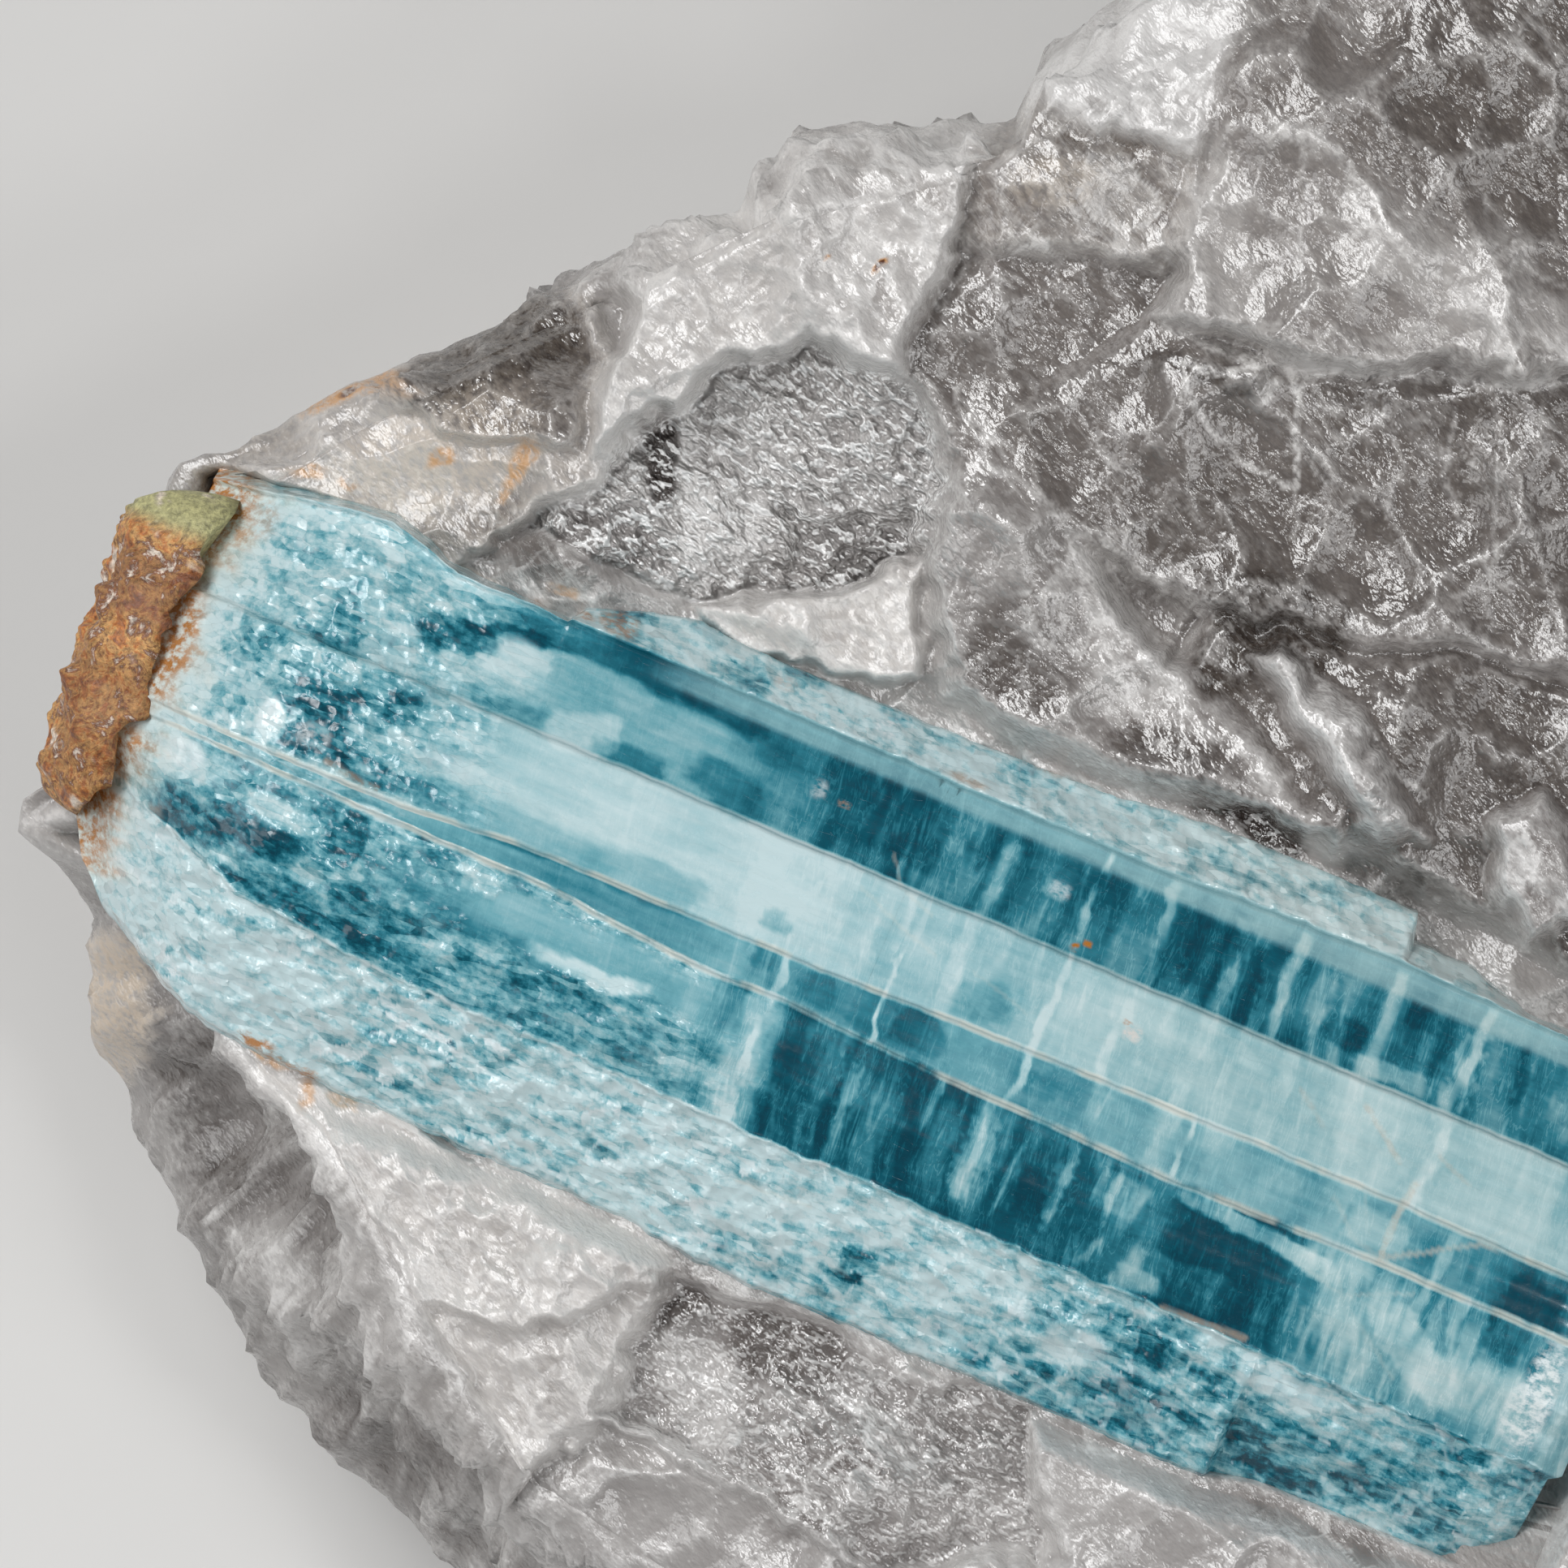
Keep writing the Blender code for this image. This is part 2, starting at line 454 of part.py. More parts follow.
def build_trough():
    """The body cut out of the lump so that the sheaf and the crust lie in it without touching."""
    rings = []
    lowest = UNDERSIDE - FIT_GAP
    inner = CRUST_BACK + 0.2
    for u in [CRUST_FRONT - OPEN_LENGTH, CRUST_FRONT - 0.4, inner]:
        rings.append((u, OPEN_LOW, OPEN_HIGH))
    for u in sheaf_stations():
        shifted = u if u > SHEAF_START else inner + 0.05
        rings.append((shifted, grown_side(LOWER_SIDE, u, -1), grown_side(UPPER_SIDE, u, 1)))
    rings.append((SHEAF_END + FIT_GAP, rings[-1][1], rings[-1][2]))
    skin = []
    for u, low, high in rings:
        section = [(high, CUT_TOP), (low, CUT_TOP)] + sheaf_bottom(low, high, lowest)
        section = section[:2] + [(low, lowest + 9.0)] + section[2:] + [(high, lowest + 9.0)]
        x, y, z = placed(np.full(len(section), u), *np.array(section).T)
        skin.append(np.stack([x, y, z], axis=-1))
    skin = np.array(skin)
    points, faces = closed_rings(skin, skin[0].mean(axis=0), skin[-1].mean(axis=0))
    return add_object("trough_cutter", points, faces, turned_inside_out=True)


def build_floor_cut():
    """The block cut away below z = 0 so that the lump rests on a flat base."""
    half = 70.0
    deep = -20.0
    ring = [(-half, -half), (half, -half), (half, half), (-half, half)]
    points = [(x, y, deep) for x, y in ring] + [(x, y, 0.0) for x, y in ring]
    faces = [(3, 2, 1, 0), (4, 5, 6, 7), (0, 1, 5, 4), (1, 2, 6, 5), (2, 3, 7, 6), (3, 0, 4, 7)]
    return add_object("floor_cutter", points, faces)


def cut_away(thing, cutter):
    """Cuts one body out of another and hides the body that cuts."""
    cut = thing.modifiers.new("cut_" + cutter.name, "BOOLEAN")
    cut.operation = "DIFFERENCE"
    cut.solver = "EXACT"
    cut.object = cutter
    cutter.hide_render = True
    cutter.display_type = "WIRE"


def build_lump():
    """The broken quartz lump with the trough for the sheaf."""
    grid, middle = lump_grid()
    below = (0.0, 0.0, -FLOOR_DEPTH)
    points, faces = closed_rings(grid, middle, below)
    lump = add_object("quartz_matrix", points, faces)
    set_material(lump, "milky_smoky_quartz", (0.560, 0.530, 0.510), 0.35, 1.544)
    merge = lump.modifiers.new("merge_flat_areas", "DECIMATE")
    merge.decimate_type = "COLLAPSE"
    merge.ratio = MERGED_SHARE
    cut_away(lump, build_trough())
    cut_away(lump, build_floor_cut())
    return lump


def main():
    """Builds the three bodies."""
    remove_everything()
    build_lump()
    build_sheaf()
    build_crust()


main()
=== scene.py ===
"""Indicolite tourmaline in quartz: the look of the specimen.

A sheaf of blue-green tourmaline prisms lies in a broken lump of milky and smoky quartz.  The broken
quartz, the sheaf and the rusty crust on its left end are surfaces worked out on grids, in the frame of
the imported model.  Lengths in the tables are millimetres.
"""

import math

import bpy
import numpy as np
from bpy.props import FloatProperty, FloatVectorProperty, PointerProperty
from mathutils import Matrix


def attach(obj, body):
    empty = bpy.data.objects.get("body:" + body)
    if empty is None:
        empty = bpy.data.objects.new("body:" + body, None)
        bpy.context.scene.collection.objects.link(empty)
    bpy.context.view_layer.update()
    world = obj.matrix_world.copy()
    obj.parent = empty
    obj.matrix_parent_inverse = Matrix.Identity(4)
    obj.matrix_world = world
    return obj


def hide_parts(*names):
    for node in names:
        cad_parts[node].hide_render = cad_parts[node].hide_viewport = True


bl_info = {
    "name": "Tourmaline in quartz",
    "version": (1, 0, 0),
    "blender": (4, 5, 0),
    "location": "3D View > Sidebar > Mineral",
    "description": "Builds a sheaf of blue-green tourmaline in a broken lump of quartz",
    "category": "Add Mesh",
}

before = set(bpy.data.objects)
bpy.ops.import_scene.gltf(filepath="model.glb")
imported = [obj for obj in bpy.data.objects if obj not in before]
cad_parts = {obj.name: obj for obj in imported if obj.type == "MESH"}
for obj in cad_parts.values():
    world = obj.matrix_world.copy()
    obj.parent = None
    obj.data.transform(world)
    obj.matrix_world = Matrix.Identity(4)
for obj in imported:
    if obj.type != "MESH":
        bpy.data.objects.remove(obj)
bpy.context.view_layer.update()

MM = 0.001
PHOTO_MIDDLE = (-8.70, 3.88)
QUARTZ_IOR, TOURMALINE_IOR, CRUST_IOR = 1.544, 1.63, 1.6
VEIL_TURN, CRINKLE_TURN = math.radians(-52), math.radians(-40)
CENTRING = (-0.16, 0.39)

# Outline of the lump seen from above, anticlockwise.
OUTLINE = [
    (41.2, -0.7), (40.1, 7.8), (41.4, 16.3), (40.7, 25.5), (38.4, 33.3), (34.3, 38.8), (28.2, 41.8),
    (21.4, 42.5), (14.6, 41.1), (8.8, 38.8), (5.4, 36.7), (4.0, 36.0), (2.7, 35.0), (1.8, 33.7),
    (1.0, 32.1), (-3.1, 31.5), (-5.5, 31.8), (-8.4, 31.0), (-9.4, 29.6), (-10.4, 27.8), (-12.3, 27.8),
    (-13.3, 27.5), (-15.0, 26.5), (-18.1, 24.8), (-19.8, 23.9), (-22.5, 22.8), (-26.3, 21.4),
    (-28.4, 20.4), (-29.7, 19.7), (-30.9, 18.6), (-32.9, 17.7), (-34.1, 17.3), (-34.6, 16.3),
    (-33.6, 14.5), (-34.0, 12.8), (-35.4, 10.3), (-37.0, 7.2), (-38.2, 4.8), (-41.2, 3.0), (-41.5, 2.5),
    (-40.8, 1.6), (-39.5, 0.3), (-38.1, -1.6), (-38.1, -2.2), (-38.3, -3.2), (-38.0, -4.3),
    (-38.3, -5.6), (-38.4, -7.0), (-37.6, -8.2), (-36.9, -9.2), (-36.6, -10.7), (-35.9, -12.1),
    (-34.5, -14.3), (-32.7, -18.4), (-30.3, -21.8), (-27.3, -25.5), (-23.5, -29.0), (-19.8, -33.0),
    (-15.7, -36.7), (-9.2, -40.5), (-0.7, -42.5), (11.2, -42.5), (21.4, -40.5), (29.9, -36.4),
    (35.0, -29.6), (37.7, -21.1), (40.1, -10.9),
]

# Shoulder: direction in degrees, height of the widest line, width of the slope above it.
SHOULDER = [
    (0, 22, 4.0), (30, 22, 4.0), (58, 23, 4.0), (66, 28, 3.0), (95, 29, 2.5), (150, 30, 2.5),
    (170, 29, 2.5), (178, 25, 3.5), (184, 18, 5.0), (192, 14, 5.7), (201, 13, 7.4), (216, 12, 7.1),
    (228, 13, 6.0), (240, 15, 6.0), (252, 16, 8.0), (270, 16, 6.0), (300, 16, 5.0), (325, 20, 4.0),
]
SHOULDER_START = math.radians(24)
BASE_SHARE = 0.87
WALL_BEND = 1.4

# Broken faces: level, slopes along x and y, softness of the edge, then look: milk, smoke, cream, gloss;
# then the corners.
TOP_LEVEL = 33.0
TOP_FACES = [
    (33.5, 0.10, 0.00, 0.5, (0.46, 0.34, 0.22, 0.2), [
        (-34.2, 17.2), (-26.2, 21.6), (-17.1, 25.0), (-16.2, 22.4), (-16.6, 16.3), (-22.5, 12.9),
        (-26.9, 15.0), (-31.7, 16.7)]),
    (34.2, 0.00, -0.45, 0.4, (0.12, 0.75, 0.10, 0.5), [
        (-25.9, 21.1), (-17.7, 24.8), (-16.7, 21.8), (-17.7, 17.7), (-21.1, 18.4)]),
    (37.0, 0.05, 0.10, 0.6, (0.84, 0.05, 0.10, 0.4), [
        (-16.7, 16.0), (-16.2, 22.1), (-12.3, 28.2), (-7.5, 28.6), (-7.2, 22.8), (-11.3, 21.8),
        (-14.7, 18.9)]),
    (38.0, 0.00, 0.06, 0.6, (0.80, 0.10, 0.06, 0.4), [
        (-9.2, 31.2), (-5.5, 32.4), (0.6, 32.6), (1.0, 29.9), (-1.8, 26.9), (-1.9, 23.8), (-3.1, 21.1),
        (-5.5, 20.9), (-7.9, 23.1)]),
    (32.6, 0.06, 0.12, 0.6, (0.70, 0.18, 0.00, 1.0), [
        (-19.8, 14.3), (-14.7, 19.0), (-11.3, 21.8), (-7.5, 22.8), (-3.1, 20.7), (-1.1, 16.7),
        (-1.8, 12.9), (-7.5, 12.1), (-12.3, 11.4)]),
    (31.4, 0.00, 0.00, 0.6, (0.62, 0.26, 0.00, 1.0), [
        (-8.4, 15.0), (-5.5, 15.5), (-2.4, 14.6), (-3.1, 12.9), (-6.2, 12.2), (-8.1, 12.9)]),
    (34.8, 0.00, -0.10, 0.4, (0.82, 0.05, 0.15, 0.1), [
        (-12.0, 11.4), (-7.5, 12.1), (-3.1, 12.9), (-3.1, 8.5), (-5.5, 8.0), (-10.9, 9.9)]),
    (37.0, 0.10, 0.00, 0.5, (0.32, 0.42, 0.12, 0.4), [
        (0.4, 32.6), (8.8, 34.0), (8.8, 25.5), (2.7, 25.5), (-1.8, 26.5)]),
    (38.6, 0.05, 0.02, 0.9, (0.85, 0.10, 0.00, 0.3), [
        (1.6, 33.0), (2.7, 36.0), (6.1, 38.0), (11.5, 39.4), (11.8, 33.3), (8.8, 30.4), (2.7, 31.6)]),
    (36.0, 0.05, -0.08, 0.9, (0.16, 0.56, 0.05, 0.6), [
        (-3.4, 20.6), (-2.0, 26.8), (2.7, 26.0), (9.6, 26.0), (9.0, 22.4), (2.4, 20.0), (2.4, 15.0), (-1.3, 16.0)]),
    (39.5, 0.02, -0.05, 1.1, (0.24, 0.46, 0.06, 0.4), [
        (7.4, 23.0), (8.6, 29.9), (11.5, 41.5), (26.5, 43.5), (37.7, 36.3), (41.7, 20.4), (24.1, 20.7),
        (19.7, 20.6), (12.9, 21.4)]),
    (36.7, 0.02, 0.05, 0.6, (0.03, 0.66, 0.05, 0.5), [
        (7.4, 22.8), (12.9, 21.2), (24.1, 20.6), (42.7, 20.1), (42.1, 9.5), (24.1, 8.5), (9.5, 10.9),
        (1.0, 15.0), (1.0, 20.4)]),
    (35.3, 0.02, 0.05, 1.0, (0.02, 0.70, 0.05, 0.5), [
        (9.5, 10.9), (24.1, 8.5), (42.1, 7.8), (42.7, -4.1), (24.1, -3.7), (16.3, 0.7), (11.5, 2.7),
        (7.4, 7.8)]),
    (36.2, 0.00, 0.00, 1.0, (0.30, 0.44, 0.03, 0.6), [
        (-0.7, 17.7), (1.6, 16.3), (6.7, 10.2), (14.2, 2.4), (11.5, 1.7), (3.7, 4.1), (-1.4, 7.8),
        (-3.1, 12.9)]),
    (37.1, 0.00, 0.00, 0.8, (0.45, 0.30, 0.00, 0.6), [
        (11.3, 9.2), (12.5, 9.5), (18.3, 2.0), (16.3, 1.4)]),
    (33.2, 0.00, 0.00, 0.4, (0.05, 1.00, 0.00, 0.8), [
        (8.8, 2.7), (11.5, 3.2), (13.2, 1.4), (12.9, 0.3)]),
    (37.4, 0.00, 0.00, 0.7, (0.40, 0.26, 0.00, 0.4), [
        (21.0, 2.4), (23.1, 3.1), (24.1, 1.4), (24.1, -1.7), (22.4, -2.7), (20.8, 0.0)]),
    (35.6, 0.00, 0.00, 0.7, (0.40, 0.30, 0.05, 0.3), [
        (28.5, -4.0), (42.0, -4.0), (40.0, -26.0), (24.0, -36.0), (20.5, -33.0)]),
    (33.2, 0.00, -0.06, 0.4, (0.92, 0.00, 0.12, 0.2), [
        (-32.4, -7.1), (-26.9, -9.5), (-20.5, -12.2), (-14.3, -15.3), (-13.7, -16.3), (-15.7, -18.0),
        (-19.8, -19.4), (-23.9, -17.7), (-27.9, -11.6)]),
    (32.4, 0.05, 0.05, 0.4, (0.72, 0.15, 0.10, 0.3), [
        (-23.9, -17.7), (-19.8, -19.0), (-15.0, -17.7), (-13.7, -16.7), (-14.3, -19.4), (-16.7, -22.4),
        (-17.7, -26.5), (-19.8, -25.8)]),
    (30.8, 0.05, 0.05, 0.9, (0.42, 0.42, 0.00, 0.80), [
        (-13.7, -16.3), (-7.5, -19.0), (2.3, -22.8), (2.3, -29.0), (-5.5, -29.0), (-10.9, -25.8),
        (-16.4, -22.4)]),
    (33.2, 0.00, 0.05, 0.9, (0.55, 0.25, 0.00, 0.5), [
        (2.3, -23.1), (9.5, -25.5), (20.0, -32.0), (12.9, -38.7), (2.7, -31.3)]),
    (29.8, 0.05, 0.10, 0.5, (0.50, 0.30, 0.00, 0.4), [
        (-19.8, -25.8), (-16.4, -22.8), (-10.9, -25.8), (-5.5, -29.0), (2.7, -43.5), (-12.9, -41.8),
        (-20.0, -34.0)]),
    (31.6, 0.10, 0.00, 0.4, (0.80, 0.05, 0.05, 0.3), [
        (-42.4, 3.2), (-38.5, 2.7), (-36.0, -0.7), (-33.0, -5.4), (-34.5, -6.5), (-39.0, -3.0)]),
]
EDGE_WANDER = 0.6
EDGE_WANDER_SIZE = 3.2
PLAIN_LOOK = (0.42, 0.34, 0.03, 0.3)

# Shell-shaped hollows of broken quartz: size across, depth, number that scatters them.
TOP_HOLLOWS = [(9.0, 1.1, 11), (3.6, 0.55, 12)]
TOP_HOLLOW_SHARE = 0.6
FINE_HOLLOWS = [(1.5, 0.26, 13), (0.62, 0.10, 14)]
WALL_HOLLOWS = [(17.0, 4.6, 21), (7.0, 1.5, 22)]
FINE_WALL_HOLLOWS = [(2.4, 0.45, 23), (1.0, 0.16, 24)]

# Spots in the quartz: x, y, half length, half width, turn in degrees, then what is added to
# milk, smoke, cream, rust.
QUARTZ_SPOTS = [
    (-23.9, 17.2, 5.0, 2.4, 25, 0.18, -0.20, 0.32, 0.0), (-21.0, 22.0, 4.2, 1.5, 22, -0.35, 0.40, 0.0, 0.0),
    (-28.1, 20.0, 1.3, 0.45, 30, 0.0, 0.0, 0.5, 0.9), (-26.3, 20.9, 1.3, 0.35, 22, 0.0, 0.0, 0.4, 0.8),
    (-19.7, 17.4, 0.5, 1.0, -25, 0.0, 0.0, 0.5, 0.8), (-20.5, 16.2, 0.3, 0.7, -20, 0.0, 0.0, 0.3, 0.55),
    (-23.2, 17.6, 0.6, 0.4, 0, 0.0, 0.0, 0.2, 0.8), (-28.8, 17.1, 0.7, 0.3, -10, 0.0, 0.0, 0.3, 0.75),
    (-27.2, 16.6, 0.4, 0.2, -20, 0.0, 0.0, 0.2, 0.6), (-17.9, 11.9, 0.6, 0.25, -25, 0.0, 0.0, 0.3, 0.6),
    (-14.4, 9.9, 0.5, 0.2, -25, 0.0, 0.0, 0.3, 0.7), (-25.0, 13.9, 5.5, 0.5, -27, 0.1, 0.0, 0.45, 0.1),
    (-7.0, 25.8, 0.16, 0.13, 0, 0.0, 0.0, 0.0, 1.3), (-4.7, 25.3, 0.30, 0.22, 20, 0.0, 0.0, 0.0, 1.4),
    # The first spot here, a dark facet at the left of the clean hollow, is a painted dark reflection.
    (-13.8, 17.6, 0.8, 2.0, 15, -0.70, 0.75, 0.0, 0.0), (-16.6, 14.0, 3.2, 1.5, 10, -0.30, 0.30, 0.0, 0.0),
    (-12.5, 16.0, 0.6, 4.0, 5, 0.50, -0.30, 0.0, 0.0), (-10.6, 14.6, 1.5, 2.0, 0, 0.35, -0.25, 0.0, 0.0),
    (-9.5, 19.0, 1.4, 2.2, 20, 0.15, 0.15, 0.0, 0.0), (-5.4, 13.7, 2.2, 1.2, 0, -0.15, 0.35, 0.0, 0.0),
    # The first spot here, darker and smokier along the foot of the slab's lower edge, is a painted shadow.
    (8.6, 21.2, 3.0, 0.6, -12, -0.1, 0.35, 0.0, 0.0), (10.4, 19.2, 2.2, 2.3, 0, 0.12, -0.05, 0.0, 0.0),
    (17.8, 17.4, 1.1, 2.4, 8, 0.10, -0.05, 0.0, 0.0), (12.2, 10.6, 2.8, 1.6, -20, -0.55, 0.85, 0.0, 0.0),
    (9.8, 9.0, 1.3, 1.4, 0, -0.15, 0.50, 0.0, 0.0), (6.1, 8.4, 1.7, 3.0, 40, 0.22, -0.10, 0.0, 0.0),
    (11.3, 4.4, 1.8, 0.7, -15, 0.20, -0.15, 0.0, 0.0), (8.0, 4.7, 3.0, 1.4, -20, -0.45, 0.36, 0.0, 0.0),
    (1.2, 9.0, 2.8, 2.4, -40, -0.15, 0.22, 0.0, 0.0), (4.4, 31.0, 2.5, 1.2, -20, -0.15, 0.40, 0.0, 0.0),
    (2.6, 29.0, 2.0, 1.0, 0, 0.05, 0.1, 0.25, 0.0), (9.5, 26.5, 1.4, 3.6, 15, 0.20, -0.1, 0.0, 0.0),
    (11.5, 2.3, 1.6, 0.7, -25, -0.4, 0.9, 0.0, 0.0), (16.6, -0.2, 2.0, 0.8, -25, -0.1, 0.6, 0.0, 0.0),
    (21.4, 32.6, 6.0, 6.0, 0, -0.15, 0.25, 0.0, 0.0), (20.0, 6.0, 4.5, 3.0, 0, 0.05, 0.05, 0.0, 0.0),
    (17.5, 26.0, 4.0, 1.4, -35, 0.18, -0.10, 0.0, 0.0), (22.0, 23.0, 3.5, 1.2, -5, 0.20, -0.15, 0.0, 0.0),
    (-37.6, -5.9, 1.5, 3.4, -8, 0.35, -0.3, 1.2, 0.05), (-30.4, -7.3, 1.2, 0.4, -35, 0.0, 0.0, 0.5, 0.7),
    (-28.9, -9.2, 0.4, 0.6, 10, 0.0, 0.0, 0.3, 0.75), (-27.4, -9.3, 0.7, 0.3, -20, 0.0, 0.0, 0.5, 0.35),
    (-13.0, -18.0, 1.6, 1.6, 0, -0.2, 0.35, 0.0, 0.0), (-8.4, -20.0, 2.8, 1.6, -20, -0.35, 0.35, 0.0, 0.0),
    (-0.7, -24.5, 2.2, 1.6, 0, -0.1, 0.25, 0.0, 0.0), (-12.2, -21.5, 1.6, 2.6, 20, 0.30, -0.2, 0.0, 0.0),
    (-33.5, -11.5, 1.4, 4.0, 35, -0.05, 0.15, 0.0, 0.0), (-30.0, -17.5, 1.2, 4.5, 30, 0.2, -0.1, 0.0, 0.0),
    (-25.5, -24.0, 1.4, 4.5, 38, -0.1, 0.15, 0.0, 0.0), (-20.0, -28.0, 1.2, 3.5, 42, 0.2, -0.1, 0.0, 0.0),
]

# Bright inner cracks in the quartz, and painted highlights along the rims of broken faces: strength, half width,
# points.
QUARTZ_CRACKS = [
    (0.85, 0.11, [(7.8, 21.4), (12.5, 21.3), (12.9, 16.3), (10.5, 17.0), (8.4, 19.7), (7.8, 21.4)]),
    (0.35, 0.10, [(12.8, 31.0), (12.9, 21.5), (12.8, 13.5)]), (0.30, 0.10, [(21.0, 20.5), (20.6, 9.0)]),
    (0.60, 0.12, [(12.0, 9.0), (14.0, 5.6), (16.3, 2.4)]), (0.60, 0.12, [(12.5, 9.5), (15.6, 6.2), (18.0, 3.1)]),
    (0.50, 0.10, [(13.2, 7.8), (14.6, 4.2)]), (0.45, 0.10, [(12.6, 8.6), (17.0, 4.2)]),
    (0.60, 0.22, [(7.1, 23.1), (10.1, 21.8), (12.9, 21.4), (19.7, 20.6), (24.1, 20.7)]),
    (0.35, 0.14, [(-1.1, 26.5), (-1.7, 24.0), (-2.8, 21.4)]),
    (0.45, 0.10, [(16.4, 20.0), (17.1, 17.0), (16.6, 15.2)]),
    (0.40, 0.10, [(19.2, 19.4), (18.9, 16.8), (19.3, 14.8)]),
    (0.40, 0.12, [(14.4, 30.5), (16.8, 26.5), (20.5, 23.6)]),
    (0.35, 0.10, [(16.0, 31.2), (18.8, 27.2), (23.6, 24.6)]), (0.45, 0.16, [(-0.7, 17.7), (1.6, 16.3), (6.7, 10.2)]),
    (0.45, 0.14, [(3.0, 14.6), (4.6, 9.4), (7.2, 5.4)]), (0.45, 0.12, [(5.2, 11.6), (8.0, 7.0), (11.4, 4.2)]),
    (0.55, 0.14, [(-32.0, -7.1), (-28.4, -11.6), (-25.2, -15.0), (-24.5, -19.0), (-19.4, -24.5)]),
    (0.30, 0.12, [(14.0, 14.0), (19.0, 11.8), (24.0, 12.2)]), (0.30, 0.10, [(2.6, 20.6), (5.0, 17.5), (8.8, 14.6)]),
    (0.35, 0.10, [(20.4, 1.8), (20.9, -1.2), (22.6, -2.8)]),
    (0.35, 0.14, [(-10.2, 22.0), (-6.4, 23.2), (-3.4, 21.6)]),
]

# Areas of the top that get a finer grid: x of each side line, y of its lower and upper end.
UPPER_AREA = [(-33.0, 14.6, 16.8), (-30.0, 13.6, 17.2), (-26.0, 11.2, 19.6), (-18.0, 7.6, 23.4), (-12.0, 4.8, 26.2),
              (-8.0, 3.4, 28.0), (0.0, 0.4, 30.0), (6.0, -2.6, 34.0), (14.0, -6.6, 37.4), (25.5, -11.4, 38.2)]
LOWER_AREA = [(-32.0, -7.4, -3.6), (-28.0, -11.2, -5.6), (-24.4, -18.0, -7.6), (-19.0, -26.2, -9.8),
              (-12.0, -31.0, -13.0), (-2.0, -34.0, -16.6), (10.0, -36.0, -21.4), (25.5, -33.0, -27.0)]
AREA_SINK = 0.6
UPPER_GRID, LOWER_GRID = (412, 226), (412, 150)

# Sheaf: its own frame has u along the prisms and w across them.
SHEAF_MIDDLE = (-7.55, -4.76)
SHEAF_TURN = math.radians(-23)
SHEAF_START, SHEAF_END = -31.6, 37.0
UPPER_SIDE = [
    (-32.0, 10.2), (-30.6, 11.0), (-28.9, 11.0), (-25.8, 11.4), (-23.8, 11.6), (-22.1, 11.2),
    (-21.1, 10.7), (-15.4, 10.5), (-14.9, 11.2), (-12.9, 11.9), (-10.2, 12.5), (-6.8, 12.3), (0.0, 12.3),
    (8.5, 12.6), (12.6, 13.1), (19.7, 13.1), (22.2, 13.0), (22.5, 11.8), (25.2, 11.8), (27.4, 11.2),
    (28.0, 10.9), (37.0, 10.9),
]
STRIP_JOINT = [(-32.0, 9.8), (-25.8, 10.9), (-23.8, 11.1), (-22.1, 10.7), (-20.4, 10.2), (-14.9, 10.3),
               (11.9, 10.3), (15.3, 10.5), (22.2, 10.7), (25.2, 10.6), (37.0, 10.3)]
DARK_JOINT = [(-32.0, 5.4), (37.0, 5.6)]
PALE_JOINT = [(-32.0, 0.4), (-18.7, 0.4), (-13.6, 0.9), (0.0, 1.0), (5.1, 1.2), (17.0, 1.4), (25.5, 1.5),
              (37.0, 1.3)]
CREAM_JOINT = [(-32.0, -0.2), (-12.0, -0.3), (-5.1, -0.9), (-1.0, -0.8), (5.1, -1.1), (17.0, -1.4),
               (26.0, -1.2), (37.0, -1.2)]
LOWER_JOINT = [(-32.0, -2.6), (-30.3, -3.1), (-29.2, -3.9), (-27.2, -4.4), (-23.8, -5.6), (-20.4, -6.0),
               (-15.3, -6.4), (-1.7, -6.5), (1.4, -6.6), (37.0, -6.7)]
LOWER_SIDE = [
    (-32.0, -5.0), (-31.6, -5.2), (-30.5, -7.0), (-28.9, -8.5), (-26.5, -9.9), (-23.8, -11.2),
    (-20.4, -11.7), (-17.0, -11.9), (-3.1, -12.1), (0.0, -12.6), (23.1, -12.6), (25.5, -12.1),
    (37.0, -12.0),
]
STRIP_OUTER, STRIP_INNER = 34.6, 36.9
DARK_OUTER, DARK_INNER = 36.4, 38.2
PALE_OUTER, PALE_INNER = 38.8, 39.8
CREAM_OUTER, CREAM_INNER = 39.5, 39.3
TEAL_OUTER, TEAL_MIDDLE, TEAL_INNER = 39.0, 38.7, 37.4
LOWER_OUTER, LOWER_MIDDLE, LOWER_INNER = 37.1, 35.6, 33.6
SIDE_TOP, UNDERSIDE = 32.2, 22.0
START_FADE, START_DROP = 8.0, 5.5
END_FADE, END_DROP = 3.0, 1.2
END_SHORTER = [(-12.0, 0.9), (-6.8, 0.6), (-6.5, 0.1), (-1.3, 0.3), (1.3, 0.7), (5.5, 0.0), (5.7, 0.8),
               (11.0, 0.5)]
END_REACH = 4.0
STEP_AT, STEP_DROP, STEP_LENGTH = 23.1, 1.3, 0.3
JOINT_WIDTH = 0.16
SHEAF_STATIONS = 438
SHEAF_HALF_WAY, SHEAF_OVERLAP, RIM_DROP = 2.0, 0.4, 0.3
CONTACT_LOWER, CONTACT_UPPER = 32.9, 34.3

# Depth of colour along each prism: 0 is the palest aqua, 1 the deepest teal.
STRIP_TONE = [(-32, .36), (-15, .36), (-10, .30), (0, .24), (10, .30), (22, .26), (22.6, .18), (37, .25)]
DARK_TONE = [(-32, .18), (-27, .30), (-22, .34), (-18, .32), (-14, .42), (-9, .46), (-6, .54), (-3.2, .74),
             (0, .86), (8, .82), (11, .74), (17, .85), (20, .70), (25, .78), (30, .68), (37, .64)]
PALE_TONE = [(-32, .18), (-27, .38), (-20, .48), (-18.5, .30), (-14, .14), (-4, .12), (0, .22), (8, .30),
             (20, .30), (37, .36)]
CREAM_TONE = [(-32, .3), (-20, .50), (-10, .58), (0, .60), (10, .58), (14, .48), (20, .58), (26, .56),
              (28.5, .62), (33, .85), (37, .7)]
